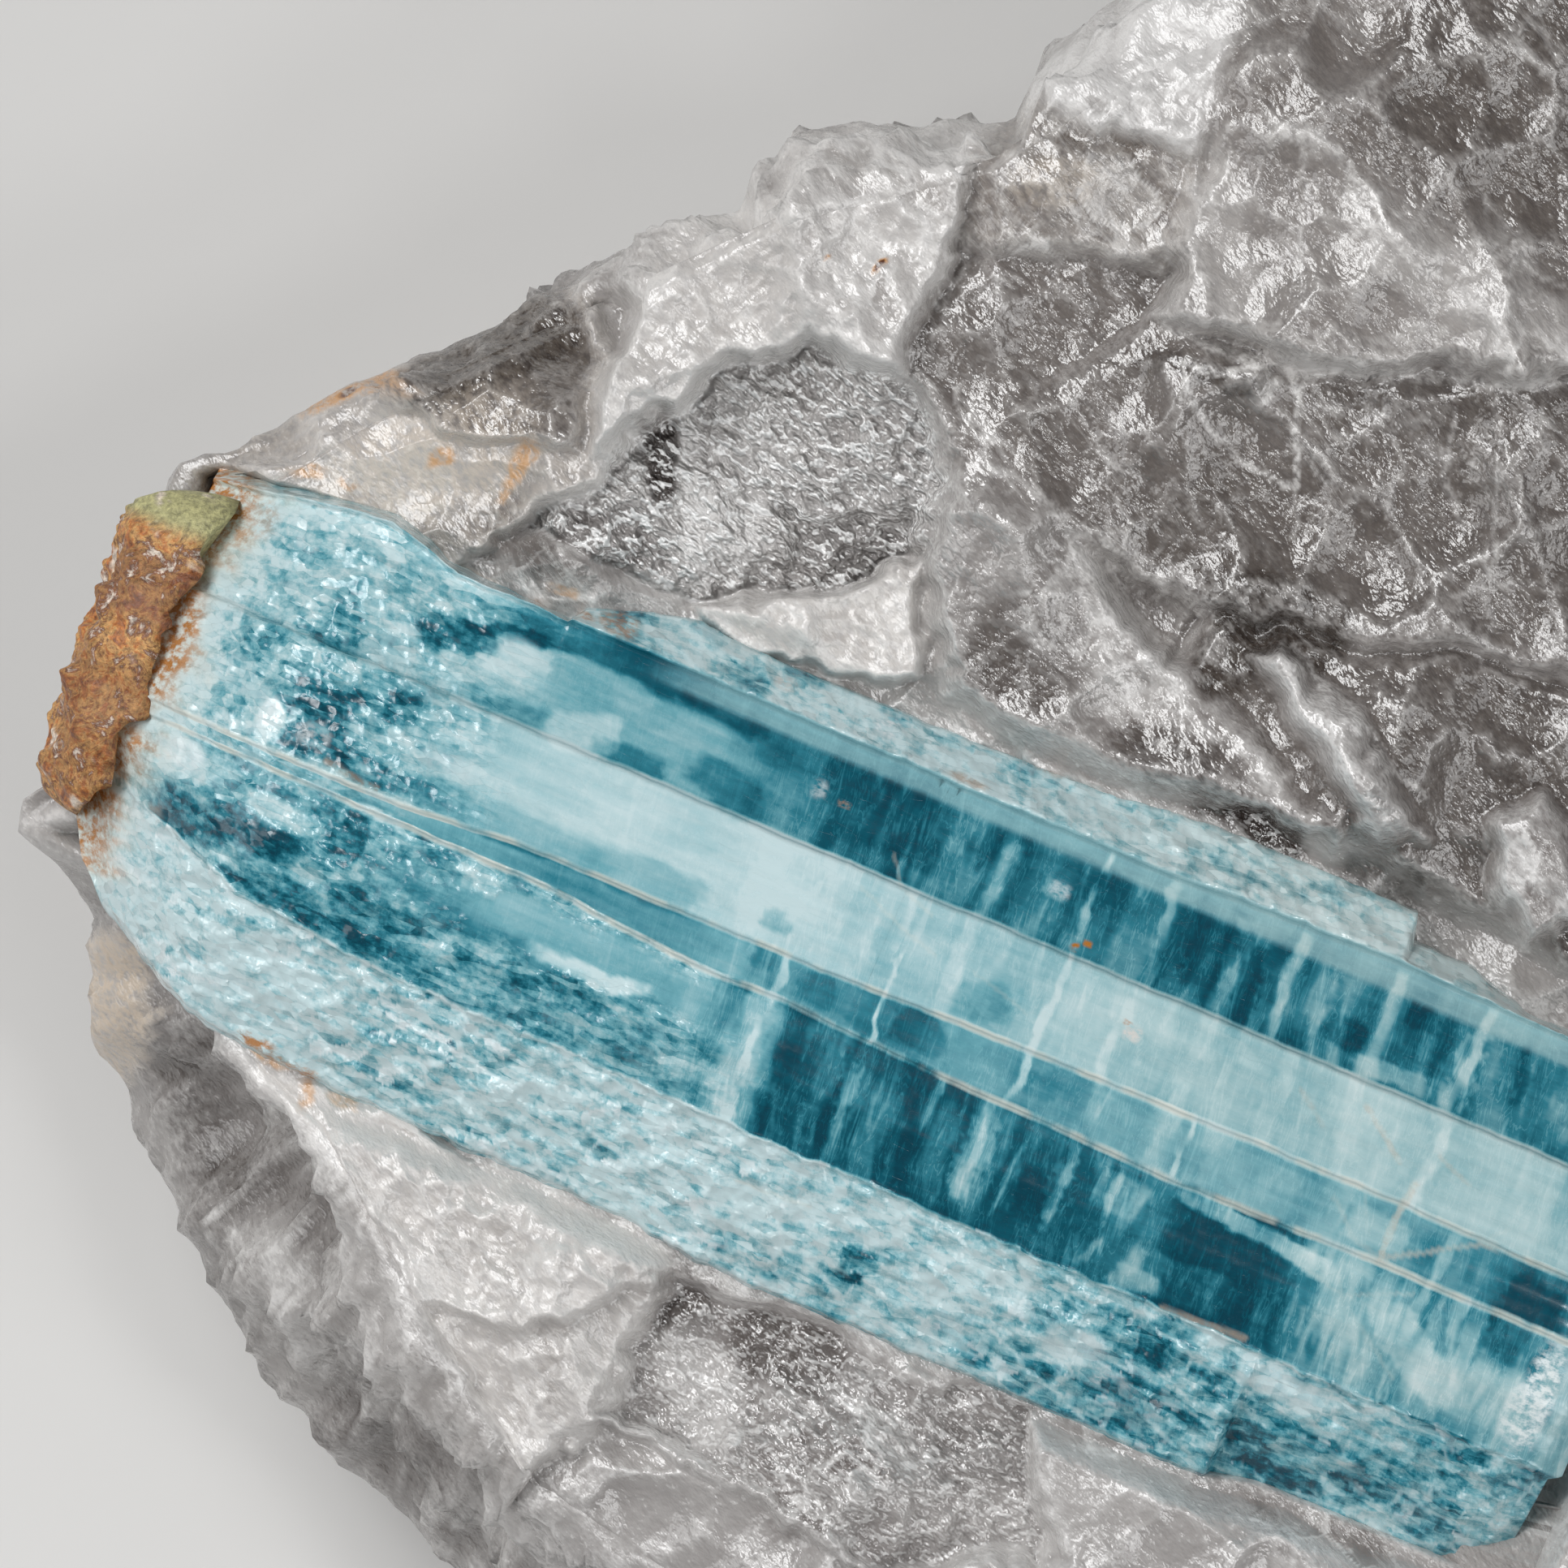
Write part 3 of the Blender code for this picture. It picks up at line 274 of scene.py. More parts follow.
TEAL_TONE = [(-32, .25), (-28.5, .45), (-24, .54), (-20, .56), (-12, .62), (-4, .62), (-1.5, .66), (0, .92),
             (4, 1.05), (12, 1.05), (17, .92), (21, .98), (24, .84), (28, .62), (33, .50), (37, .4)]
LOWER_TONE = [(-32, .06), (-26, .06), (-20, .10), (-16, .28), (-10, .30), (-4, .22), (2, .26), (12, .42),
              (20, .66), (24, .68), (30, .64), (37, .64)]

# Deeper and paler patches in the prisms: u, w, half length, half width, turn in degrees, added depth.
TONE_PATCHES = [
    (-19.4, 7.8, 1.9, 0.75, 12, .55), (-17.4, 8.8, 1.6, 0.35, 18, .40), (-23.9, 6.1, 1.3, 1.0, 0, .42),
    (-23.4, 3.1, 1.9, 1.3, 0, .44), (-21.0, 4.4, 1.4, 0.9, 0, .36), (-23.3, 1.3, 1.7, 0.7, 0, .46),
    (-27.4, 4.6, 1.3, 1.3, 0, .24), (-26.8, 9.0, 1.4, 1.0, 0, .20), (-24.3, 8.6, 0.9, 1.6, 0, .22),
    (-20.2, 1.3, 2.6, 0.7, 0, .26), (-14.6, 1.5, 4.6, 0.8, 0, .30), (-8.2, 1.6, 2.6, 0.8, 0, .30),
    (-20.4, -1.7, 0.9, 1.4, 0, .40),
    (-26.9, -3.5, 1.8, 0.8, -12, .34), (-23.8, -3.0, 2.2, 0.9, -10, .36), (-22.6, -4.9, 2.6, 0.7, -8, .36),
    (-18.5, -4.6, 2.6, 1.2, -4, .20), (-25.2, 1.6, 0.6, 0.9, 0, -.45), (-27.9, -1.2, 1.1, 0.8, 0, -.42),
    (-23.4, -1.9, 1.5, 0.6, 0, -.34), (-17.0, 7.8, 1.4, 0.9, 0, -.24), (-19.6, -0.4, 1.6, 0.25, 0, -.45),
    (-29.6, 3.0, 1.6, 6.0, 0, -.28), (-26.6, 10.2, 2.4, 0.9, 0, -.24), (-13.6, 9.6, 5.2, 0.75, 0, .46),
    (-7.8, 9.6, 1.9, 0.8, 0, .34),
    (-10.8, 6.1, 1.7, 0.5, 3, .34), (-6.6, 6.4, 1.9, 0.9, -8, .30), (-9.6, 8.0, 3.0, 0.6, 0, -.10),
    (-12.8, 6.2, 1.5, 0.9, 20, -.30), (-16.4, 6.0, 1.8, 0.6, 0, .20), (-4.4, 9.3, 2.2, 1.1, 0, .22),
    (-10.0, -1.8, 5.0, 1.1, 0, -.24), (-9.0, -2.9, 2.4, 0.35, 3, -.55), (-3.4, -2.2, 1.8, 1.2, 0, -.16),
    (-1.6, -4.4, 0.8, 1.9, 0, -.10), (-3.6, -4.9, 1.6, 0.5, 0, -.25), (-9.0, -4.2, 1.4, 1.0, 0, .16),
    (-2.4, 2.1, 0.6, 0.45, 0, .26), (-2.3, 0.6, 0.6, 0.5, 0, .18), (4.6, 0.1, 1.3, 0.8, 0, .26),
    (0.4, 0.1, 0.9, 0.8, 0, .14), (2.2, 3.0, 0.7, 1.2, 20, .16), (6.6, 2.4, 1.2, 0.9, 20, .16),
    (7.6, 2.1, 0.5, 0.4, 0, .10), (-3.6, 3.6, 0.6, 2.2, 5, -.14), (4.0, 8.6, 1.1, 1.7, 0, .14),
    (0.0, 8.0, 0.9, 1.5, 0, .10), (7.8, 7.9, 0.7, 0.5, 0, -.22), (14.7, 7.8, 0.8, 1.7, 0, .22),
    (16.6, 7.2, 0.5, 1.9, 0, .20), (21.2, 6.7, 0.9, 1.1, 0, .22), (24.0, 9.2, 0.7, 1.0, 0, .22),
    (28.5, 8.4, 1.0, 1.6, 0, .14), (19.0, 8.2, 1.2, 2.0, 0, -.14), (26.4, 7.4, 0.5, 2.6, 0, -.20),
    (23.4, 6.2, 3.0, 0.5, 3, -.30), (33.0, 7.6, 2.5, 1.6, 0, -.10), (12.0, -4.2, 0.8, 1.3, 0, .16),
    (8.9, -3.4, 0.7, 2.2, 0, -.24), (12.6, -3.4, 0.35, 2.4, 0, -.24), (15.2, -2.8, 1.1, 0.8, 0, -.24),
    (3.0, -3.2, 0.3, 2.0, 10, -.22), (21.0, -1.9, 3.6, 0.45, -7, -.55), (19.0, -5.2, 2.4, 1.0, 0, -.26),
    (17.2, -5.9, 1.2, 0.6, 0, -.24), (26.8, -2.3, 2.4, 1.1, 0, -.12), (29.2, -4.2, 2.6, 0.9, -35, -.26),
    (31.8, -4.9, 2.4, 1.2, 0, -.16), (32.8, -1.2, 1.4, 2.0, 0, .34), (25.6, 0.2, 1.4, 0.8, 0, -.24),
    (6.2, -9.8, 0.9, 0.8, 0, .55), (5.9, -11.3, 1.1, 1.2, 0, .42), (2.0, -11.2, 1.8, 0.6, 0, .34),
    (16.0, -9.7, 1.3, 0.8, 15, -.34), (24.8, -7.6, 2.2, 0.7, -5, -.40), (24.2, -10.6, 1.2, 1.1, 0, .36),
    (27.6, -10.6, 2.6, 0.7, 0, .22), (14.0, -10.6, 1.8, 0.6, 0, .18), (18.0, -8.2, 1.8, 0.8, 0, .22),
    (20.6, -9.4, 2.2, 1.6, 0, .14), (22.3, -8.3, 0.6, 0.9, 0, .22), (-5.2, -7.6, 1.0, 0.7, 0, .14),
    (-12.6, -8.4, 2.0, 1.6, 0, .14), (-17.0, -8.6, 2.2, 1.4, 0, .10), (-24.4, -6.8, 1.0, 0.3, 0, .26),
    (-22.4, -8.3, 0.8, 0.6, 60, .14), (3.4, -8.6, 1.2, 0.5, 0, -.16), (9.8, -8.0, 3.0, 0.8, 0, -.06),
    (-8.5, -8.6, 3.0, 1.2, 0, -.08), (12.0, -11.6, 1.0, 0.4, 0, .20), (15.2, 12.0, 2.4, 0.6, 0, .36),
    (18.2, 12.1, 1.0, 0.5, 0, .30), (19.4, 11.3, 2.2, 0.4, 0, -.22), (4.4, 12.0, 0.8, 0.7, 0, .20),
    (-5.6, 12.0, 0.7, 0.6, 0, .34), (-1.2, 11.2, 0.7, 1.0, 0, .36), (-8.0, 11.0, 1.1, 0.5, 0, .26),
    (9.4, 11.5, 2.6, 0.6, 0, -.20), (-12.5, 11.2, 1.6, 0.7, 0, .20), (1.8, 11.2, 1.4, 0.6, 0, -.20),
]

# Pale veils across the prisms: u, lowest w, highest w, half width, strength, lean.
VEILS = [
    (-1.3, -6.4, 1.0, .16, .50, .00), (-1.9, 1.0, 5.6, .14, .40, .12), (-3.4, -1.0, 5.6, .70, .16, .05),
    (3.15, -1.1, 2.9, .09, .65, .00), (2.6, 2.9, 5.6, .16, .30, -.25), (9.35, -1.2, 2.0, .12, .60, .03),
    (9.3, 2.0, 10.2, .13, .55, .02), (12.8, -1.3, 5.4, .18, .35, -.18), (15.9, -1.4, 9.8, .30, .22, -.08),
    (16.8, -1.3, 1.6, .10, .60, .00), (5.4, 5.6, 9.0, .25, .35, .00), (7.2, 5.6, 10.0, .20, .25, .05),
    (1.5, 5.6, 9.4, .12, .30, .00), (12.6, 5.6, 10.2, .20, .32, .00), (18.0, 5.6, 10.3, .22, .30, .05),
    (22.4, 5.6, 10.4, .25, .25, .05), (26.3, 1.4, 10.4, .20, .40, .06), (30.4, 5.6, 10.4, .3, .25, .05),
    (17.6, -6.2, -1.4, .30, .22, .05), (8.9, -5.6, -1.2, .16, .34, .00), (12.7, -5.4, -1.3, .18, .34, .10),
    (19.6, 1.4, 5.6, .25, .22, -.15), (22.8, 1.4, 5.6, .35, .22, -.3), (5.6, 1.2, 5.6, .3, .2, -.2),
    (6.5, -6.0, -1.3, .14, .24, .05), (10.6, -5.8, -1.3, .10, .24, .02), (14.8, -6.0, -1.5, .14, .3, .1),
    (4.4, -12.0, -6.6, .2, .3, .0), (9.6, -12.0, -6.8, .25, .26, .02), (-4.0, -12.0, -6.6, .25, .28, .0),
    (13.2, -12.2, -7.0, .3, .22, .0), (31.0, -6.5, -1.2, .2, .25, .05), (28.3, -6.5, 1.3, .2, .25, .1),
]

# Cream and rusty cracks in the prisms: cream, rust, half width, points as (u, w).
SHEAF_CRACKS = [
    (.9, .15, .16, [(26.2, -1.2), (26.1, 0.6), (26.3, 2.4)]),
    (.7, .1, .10, [(26.3, -1.0), (28.4, 0.4), (29.9, 1.2), (33.5, 1.5)]),
    (.5, .0, .10, [(29.9, 1.3), (30.6, 2.2)]), (.5, .0, .12, [(23.4, 0.6), (24.8, -0.6), (26.0, -1.0)]),
    (.4, .0, .09, [(24.6, 1.2), (25.4, -0.4)]), (.5, .1, .12, [(20.4, 4.2), (21.8, 3.2)]),
    (.7, .15, .13, [(23.2, 4.6), (24.6, 3.6), (25.4, 3.0)]), (.6, .1, .12, [(26.8, 3.9), (28.4, 3.3)]),
    (.5, .0, .09, [(23.6, -2.6), (25.4, -3.0), (28.0, -1.8)]), (.4, .0, .10, [(25.8, -3.4), (28.6, -5.4)]),
    (.4, .0, .10, [(24.8, -2.2), (26.4, -4.6)]), (.5, .0, .12, [(-25.8, 0.5), (-21.4, 0.5), (-18.2, 0.5)]),
    (.35, .3, .14, [(-22.4, 0.9), (-20.0, 0.7)]), (.6, .2, .14, [(18.6, -6.5), (22.4, -6.3)]),
    (.4, .0, .08, [(1.0, 6.6), (1.8, 5.4), (3.4, 4.9)]), (.35, .0, .08, [(0.2, 4.8), (2.4, 3.9), (4.2, 3.4)]),
    (.5, .1, .09, [(0.2, -8.5), (1.4, -8.5), (3.4, -8.4)]), (.3, .0, .08, [(6.0, 3.4), (8.6, 2.6)]),
]

# Rusty and whitish specks: u, w, half length, half width, rust, white.
SPECKS = [
    (-29.4, 9.2, 1.1, 1.0, .4, 0), (9.35, 5.95, .22, .16, 1.2, 0), (9.85, 6.30, .20, .14, 1.3, 0),
    (-1.8, 7.7, .30, .12, .6, .2),
    (7.9, 7.9, .5, .35, 0, .5), (13.0, 3.6, .42, .36, .25, 1.0), (12.7, 3.9, .2, .15, .8, .2),
    (-20.6, -11.2, .9, .30, .9, .2), (-18.4, -11.6, .8, .28, .8, .2), (-19.6, -11.5, .5, .2, .7, 0),
    (-13.4, 11.0, .9, .55, .6, .2), (-6.0, 11.4, .5, .3, .25, .5), (2.6, 10.6, .9, .2, .45, .2),
    (5.6, 12.4, .6, .15, .5, 0), (-16.9, 10.6, .8, .25, .8, .2), (-14.9, 10.7, .5, .18, .7, .1),
    (-23.2, 1.7, .7, .5, 0, .5), (-25.4, 1.9, .45, .7, 0, .8), (-28.0, -1.1, .9, .7, 0, .7),
    (-26.8, 9.0, .5, .3, 0, .6), (-16.8, 8.3, .9, .5, 0, .3), (-17.6, 2.8, 1.3, .4, 0, .4),
    (34.6, -3.8, .8, 2.4, 0, 1.0), (33.9, -4.6, .5, 1.2, 0, .8), (16.0, -9.4, 1.4, .7, 0, .45),
    (24.6, -7.6, 2.0, .6, 0, .4), (-1.4, 11.4, .6, .5, 0, .9), (-3.0, 7.9, .35, .4, 0, .45),
]

# Crust on the left end.
CRUST_BACK, CRUST_FRONT = -31.9, -34.7
CRUST_LOW, CRUST_HIGH = -5.8, 9.9
CRUST_BOTTOM, CRUST_TOP = 26.0, 36.0
CRUST_SQUARENESS = 0.75
CRUST_OVERLAP = 1.3
CRUST_LUMPS = [(2.2, 0.80, 41), (0.95, 0.48, 43), (0.50, 0.26, 44), (0.24, 0.10, 48)]


def linear(hex_colour):
    """Turns an sRGB hex colour into linear red, green and blue."""
    parts = [int(hex_colour[at:at + 2], 16) / 255 for at in (1, 3, 5)]
    return tuple(part / 12.92 if part <= 0.04045 else ((part + 0.055) / 1.055) ** 2.4 for part in parts)


def scattered(ix, iy, iz, salt):
    """A repeatable number from 0 to 1 for each whole-number place."""
    mixed = (ix * 73856093) ^ (iy * 19349663) ^ (iz * 83492791) ^ (salt * 2654435761)
    mixed = (mixed ^ (mixed >> 13)) & 0x7FFFFFFF
    mixed = (mixed * 1274126177) & 0x7FFFFFFFFFFF
    mixed = mixed ^ (mixed >> 15)
    return (mixed & 0xFFFFF) / 0xFFFFF


def soft_lumps(x, y, z, size, salt):
    """Smooth lumps from -1 to 1: scattered values at whole places, eased between the eight nearest."""
    place = [np.asarray(axis, float) / size for axis in (x, y, z)]
    cell = [np.floor(axis).astype(np.int64) for axis in place]
    part = [axis - low for axis, low in zip(place, cell)]
    eased = [axis * axis * (3 - 2 * axis) for axis in part]
    total = np.zeros(np.broadcast(*place).shape)
    for corner in np.ndindex(2, 2, 2):
        weight = 1.0
        for step, share in zip(corner, eased):
            weight = weight * (share if step else 1 - share)
        value = scattered(cell[0] + corner[0], cell[1] + corner[1], cell[2] + corner[2], salt)
        total = total + weight * value
    return total * 2 - 1


def layered_lumps(x, y, z, size, salt, layers=3):
    """Soft lumps with finer ones on top: each layer half the size and a little over half as strong."""
    total, strength, reach = 0.0, 1.0, 0.0
    for layer in range(layers):
        total = total + strength * soft_lumps(x, y, z, size / 2**layer, salt + layer)
        reach += strength
        strength *= 0.58
    return total / reach


def hollows(x, y, z, size, depth, salt):
    """Shell-shaped hollows that meet in sharp ridges: the lowest of many tilted bowls."""
    curve = 4 * depth / size**2
    slope = 1.6 * depth / size
    cell = [np.floor(axis / size).astype(np.int64) for axis in (x, y, z)]
    lowest = np.full(x.shape, 1e9)
    for step in np.ndindex(3, 3, 3):
        seed = [low + shift - 1 for low, shift in zip(cell, step)]
        away = []
        for number, axis in enumerate((x, y, z)):
            jitter = scattered(*seed, salt + 7 + number)
            away.append(axis - (seed[number] + jitter) * size)
        bowl = curve * (away[0] ** 2 + away[1] ** 2 + away[2] ** 2)
        for number in range(3):
            bowl = bowl + away[number] * slope * (2 * scattered(*seed, salt + 17 + number) - 1)
        bowl = bowl + depth * scattered(*seed, salt + 27)
        lowest = np.minimum(lowest, bowl)
    return lowest - depth


def flakes(x, y, z, size, salt):
    """Angular patches about scattered seeds: a number from 0 to 1 for each patch, and the room to its edge."""
    cell = [np.floor(axis / size).astype(np.int64) for axis in (x, y, z)]
    nearest = np.full(x.shape, 1e9)
    second = np.full(x.shape, 1e9)
    own = np.zeros(x.shape)
    for step in np.ndindex(3, 3, 3):
        seed = [low + shift - 1 for low, shift in zip(cell, step)]
        away = sum((axis - (seed[number] + scattered(*seed, salt + number)) * size) ** 2
                   for number, axis in enumerate((x, y, z)))
        closer = away < nearest
        second = np.where(closer, nearest, np.minimum(second, away))
        own = np.where(closer, scattered(*seed, salt + 5), own)
        nearest = np.minimum(nearest, away)
    return own, (np.sqrt(second) - np.sqrt(nearest)) / 2


def inside_distance(x, y, corners):
    """Distance to the edge of a many-cornered area, positive inside it."""
    nearest = np.full(x.shape, 1e9)
    inside = np.zeros(x.shape, bool)
    for (ax, ay), (bx, by) in zip(corners, corners[1:] + corners[:1]):
        along = ((x - ax) * (bx - ax) + (y - ay) * (by - ay)) / ((bx - ax) ** 2 + (by - ay) ** 2)
        along = np.clip(along, 0, 1)
        nearest = np.minimum(nearest, np.hypot(x - ax - along * (bx - ax), y - ay - along * (by - ay)))
        level = np.where(by == ay, 1e-9, by - ay)
        inside ^= ((ay > y) != (by > y)) & (x < (bx - ax) * (y - ay) / level + ax)
    return np.where(inside, nearest, -nearest)


def path_distance(x, y, path):
    """Distance to a line through several points."""
    nearest = np.full(x.shape, 1e9)
    for (ax, ay), (bx, by) in zip(path[:-1], path[1:]):
        along = ((x - ax) * (bx - ax) + (y - ay) * (by - ay)) / ((bx - ax) ** 2 + (by - ay) ** 2)
        along = np.clip(along, 0, 1)
        nearest = np.minimum(nearest, np.hypot(x - ax - along * (bx - ax), y - ay - along * (by - ay)))
    return nearest


def eased_step(value):
    """Rises smoothly from 0 to 1 while the value goes from 0 to 1."""
    value = np.clip(value, 0, 1)
    return value * value * (3 - 2 * value)


def line_at(line, u):
    """Height of a line through a table of places at u."""
    table = np.array(line, float)
    return np.interp(u, table[:, 0], table[:, 1])


def spot_share(x, y, middle_x, middle_y, length, width, turn, power=3, soft=0.6):
    """A soft-edged spot: 1 in the middle, 0 outside, for a turned squarish oval."""
    cosine, sine = math.cos(math.radians(turn)), math.sin(math.radians(turn))
    along = ((x - middle_x) * cosine + (y - middle_y) * sine) / length
    across = ((y - middle_y) * cosine - (x - middle_x) * sine) / width
    reach = (np.abs(along) ** power + np.abs(across) ** power) ** (1 / power)
    return eased_step((0.95 + 0.5 * soft - reach) / soft)


def to_sheaf(x, y):
    """Row place to the sheaf's own frame, u along the prisms and w across them."""
    cosine, sine = math.cos(SHEAF_TURN), math.sin(SHEAF_TURN)
    x, y = x - SHEAF_MIDDLE[0], y - SHEAF_MIDDLE[1]
    return x * cosine + y * sine, y * cosine - x * sine


def from_sheaf(u, w):
    """Sheaf place back to the row frame."""
    cosine, sine = math.cos(SHEAF_TURN), math.sin(SHEAF_TURN)
    return SHEAF_MIDDLE[0] + u * cosine - w * sine, SHEAF_MIDDLE[1] + u * sine + w * cosine


def broken_top(x, y):
    """Height and look of the broken top: flat faces laid over each other, then shell-shaped hollows."""
    flat = np.zeros(x.shape)
    wide = EDGE_WANDER * soft_lumps(x, y, flat, EDGE_WANDER_SIZE, 1)
    tall = EDGE_WANDER * soft_lumps(x, y, flat, EDGE_WANDER_SIZE, 2)
    height = TOP_LEVEL + 0.8 * soft_lumps(x, y, flat, 11.0, 3)
    look = np.stack([np.full(x.shape, part) for part in PLAIN_LOOK])
    rough_x = x + wide + 0.42 * layered_lumps(x, y, flat, 1.1, 4, 2)
    rough_y = y + tall + 0.42 * layered_lumps(x, y, flat, 1.1, 9, 2)
    for level, slope_x, slope_y, softness, face_look, corners in TOP_FACES:
        middle_x = sum(corner[0] for corner in corners) / len(corners)
        middle_y = sum(corner[1] for corner in corners) / len(corners)
        inside = inside_distance(rough_x, rough_y, corners)
        share = eased_step(inside / (0.7 * softness) * 0.5 + 0.5)
        height = height + share * (level + slope_x * (x - middle_x) + slope_y * (y - middle_y) - height)
        share = eased_step(inside + 0.5)
        look = look + share * (np.array(face_look).reshape((4,) + (1,) * x.ndim) - look)
    bent_x = x + 0.9 * layered_lumps(x, y, flat, 4.0, 64)
    bent_y = y + 0.9 * layered_lumps(x, y, flat, 4.0, 67)
    for size, depth, salt in TOP_HOLLOWS:
        height = height + hollows(bent_x, bent_y, flat, size, depth, salt) * TOP_HOLLOW_SHARE
    sparkling = eased_step((look[3] - 0.62) / 0.3)
    milky = eased_step((look[0] - 0.6) / 0.3)
    for size, depth, salt in FINE_HOLLOWS:
        height = height + hollows(x, y, flat, size, depth, salt) * (0.16 + 0.7 * sparkling + 0.5 * milky)
    height = height + 0.05 * layered_lumps(x, y, flat, 2.4, 6)
    return height, look


def sheaf_inside(u, w):
    """How far a place lies inside the sheaf's footprint, negative outside it."""
    sides = np.minimum(w - line_at(LOWER_SIDE, u), line_at(UPPER_SIDE, u) - w)
    return np.minimum(sides, np.minimum(u - SHEAF_START - 0.2, SHEAF_END - 0.3 - u))


def sunk_for_sheaf(x, y, height):
    """Lowers the quartz under the sheaf and the crust, and to their side edges next to them."""
    u, w = to_sheaf(x, y)
    inside = sheaf_inside(u, w)
    upper = w > (line_at(LOWER_SIDE, u) + line_at(UPPER_SIDE, u)) / 2
    contact = np.where(upper, CONTACT_UPPER, CONTACT_LOWER)
    contact = contact + 0.25 * soft_lumps(x, y, x * 0, 1.6, 61)
    beside = eased_step((inside + 1.6) / 1.4)
    height = height + beside * (np.minimum(height, contact) - height)
    drop = START_DROP * np.clip((SHEAF_START + START_FADE - u) / START_FADE, 0, 1) ** 1.5
    height = height - (4.0 + drop) * eased_step((inside + 0.2 * (drop > 0) - 0.2) / 1.2)
    notch = eased_step((-30.9 - u) / 0.6) * eased_step((w + 6.2) / 0.5) * eased_step((13.2 - w) / 0.5)
    return height + notch * (np.minimum(height, 26.2) - height)


def area_edge(x, y, area):
    """Distance to the nearest side of a finely gridded area, negative outside it."""
    table = np.array(area, float)
    low = np.interp(x, table[:, 0], table[:, 1])
    high = np.interp(x, table[:, 0], table[:, 2])
    return np.minimum(np.minimum(y - low, high - y), np.minimum(x - table[0, 0], table[-1, 0] - x))


def quartz_spots(x, y, look):
    """Adds the spots, bright cracks and painted rim highlights to the look; gives milk, smoke, cream, rust, gloss and
    crack.
    """
    flat = np.zeros(x.shape)
    x = x + 0.5 * layered_lumps(x, y, flat, 1.5, 7)
    y = y + 0.5 * layered_lumps(x, y, flat, 1.5, 8)
    milk, smoke, cream, gloss = look
    rust = flat
    for middle_x, middle_y, length, width, turn, *added in QUARTZ_SPOTS:
        share = spot_share(x, y, middle_x, middle_y, length, width, turn)
        milk = milk + share * added[0]
        smoke = smoke + share * added[1]
        cream = cream + share * added[2]
        rust = rust + share * added[3]
    crack = flat
    for strength, width, path in QUARTZ_CRACKS:
        crack = np.maximum(crack, strength * eased_step(1.6 - path_distance(x, y, path) / width))
    return milk, smoke, cream, rust, gloss, crack


def moved(array, shift, axis, wrap):
    """Neighbours some steps along one way of the grid, stopping at its edge unless it closes on itself."""
    rolled = np.roll(array, shift, axis)
    if wrap and axis == 1:
        return rolled
    edge = [slice(None)] * array.ndim
    stop = [slice(None)] * array.ndim
    edge[axis] = slice(0, shift) if shift > 0 else slice(shift, None)
    stop[axis] = slice(0, 1) if shift > 0 else slice(-1, None)
    rolled[tuple(edge)] = array[tuple(stop)]
    return rolled


def outward_normals(points, wrap):
    """Unit normals of a grid of points, upward for a flat field and outward for a closed lump."""
    down = moved(points, -1, 0, wrap) - moved(points, 1, 0, wrap)
    along = moved(points, -1, 1, wrap) - moved(points, 1, 1, wrap)
    normal = np.cross(down, along) * (1 if wrap else -1)
    return normal / np.maximum(np.linalg.norm(normal, axis=-1, keepdims=True), 1e-9)


def bulge(points, normal, step, wrap):
    """How far each point stands out of the mean of the four points a few steps away, along the normal."""
    around = [moved(points, shift, axis, wrap) for axis in (0, 1) for shift in (step, -step)]
    return ((points - sum(around) / 4) * normal).sum(axis=-1)


def skin_faces(rows, columns, wrap):
    """Triangles of a grid of points, row by row, closed on itself across if asked."""
    row, column = np.meshgrid(np.arange(rows - 1), np.arange(columns if wrap else columns - 1), indexing="ij")
    here = row * columns + column
    beside = row * columns + (column + 1) % columns
    first = np.stack([here, here + columns, beside + columns], axis=-1).reshape(-1, 3)
    second = np.stack([here, beside + columns, beside], axis=-1).reshape(-1, 3)
    return np.concatenate([first, second])


def make_piece(name, points, faces, attributes):
    """Puts points in millimetres, triangles and per-point attributes into a new mesh object."""
    mesh = bpy.data.meshes.new(name)
    shifted = (points + np.array([*CENTRING, 0.0])) * MM
    mesh.from_pydata(shifted.tolist(), [], faces.tolist())
    mesh.polygons.foreach_set("use_smooth", np.ones(len(faces), bool))
    for attribute, parts in attributes.items():
        layer = mesh.attributes.new(attribute, "FLOAT_COLOR", "POINT")
        values = np.ones((len(points), 4))
        for number, part in enumerate(parts):
            values[:, number] = np.clip(part, 0, 1)
        layer.data.foreach_set("color", values.ravel())
    mesh.update()
    piece = bpy.data.objects.new(name, mesh)
    bpy.context.scene.collection.objects.link(piece)
    return piece


def closed_skin(rings, first_point, last_point):
    """Closes a skin of equal rings with a point at each end; gives points and outward triangles."""
    rows, columns, _ = rings.shape
    points = np.concatenate([rings.reshape(-1, 3), [first_point, last_point]])
    faces = skin_faces(rows, columns, True)
    around = np.arange(columns)
    beside = (around + 1) % columns
    top = np.stack([np.full(columns, rows * columns), around, beside], axis=-1)
    tail = (rows - 1) * columns
    end = np.stack([np.full(columns, rows * columns + 1), tail + beside, tail + around], axis=-1)
    return points, np.concatenate([faces, top, end])


def with_ends(values):
    """Per-point values of a ring grid with one more for each closing point."""
    return np.concatenate([values.ravel(), [values[0].mean(), values[-1].mean()]])


def quartz_relief(points, wrap, scale):
    """Edges that stand out, corners that lie deep and steep faces, as three numbers from 0 to 1."""
    normal = outward_normals(points, wrap)
    near = bulge(points, normal, max(1, round(0.3 / scale)), wrap)
    wide = bulge(points, normal, max(1, round(1.0 / scale)), wrap)
    steep = eased_step((0.85 - normal[..., 2]) / 0.6)
    return np.clip(near / 0.11 + wide / 0.60, 0, 1), np.clip(-near / 0.2 - wide / 0.7, 0, 1), steep


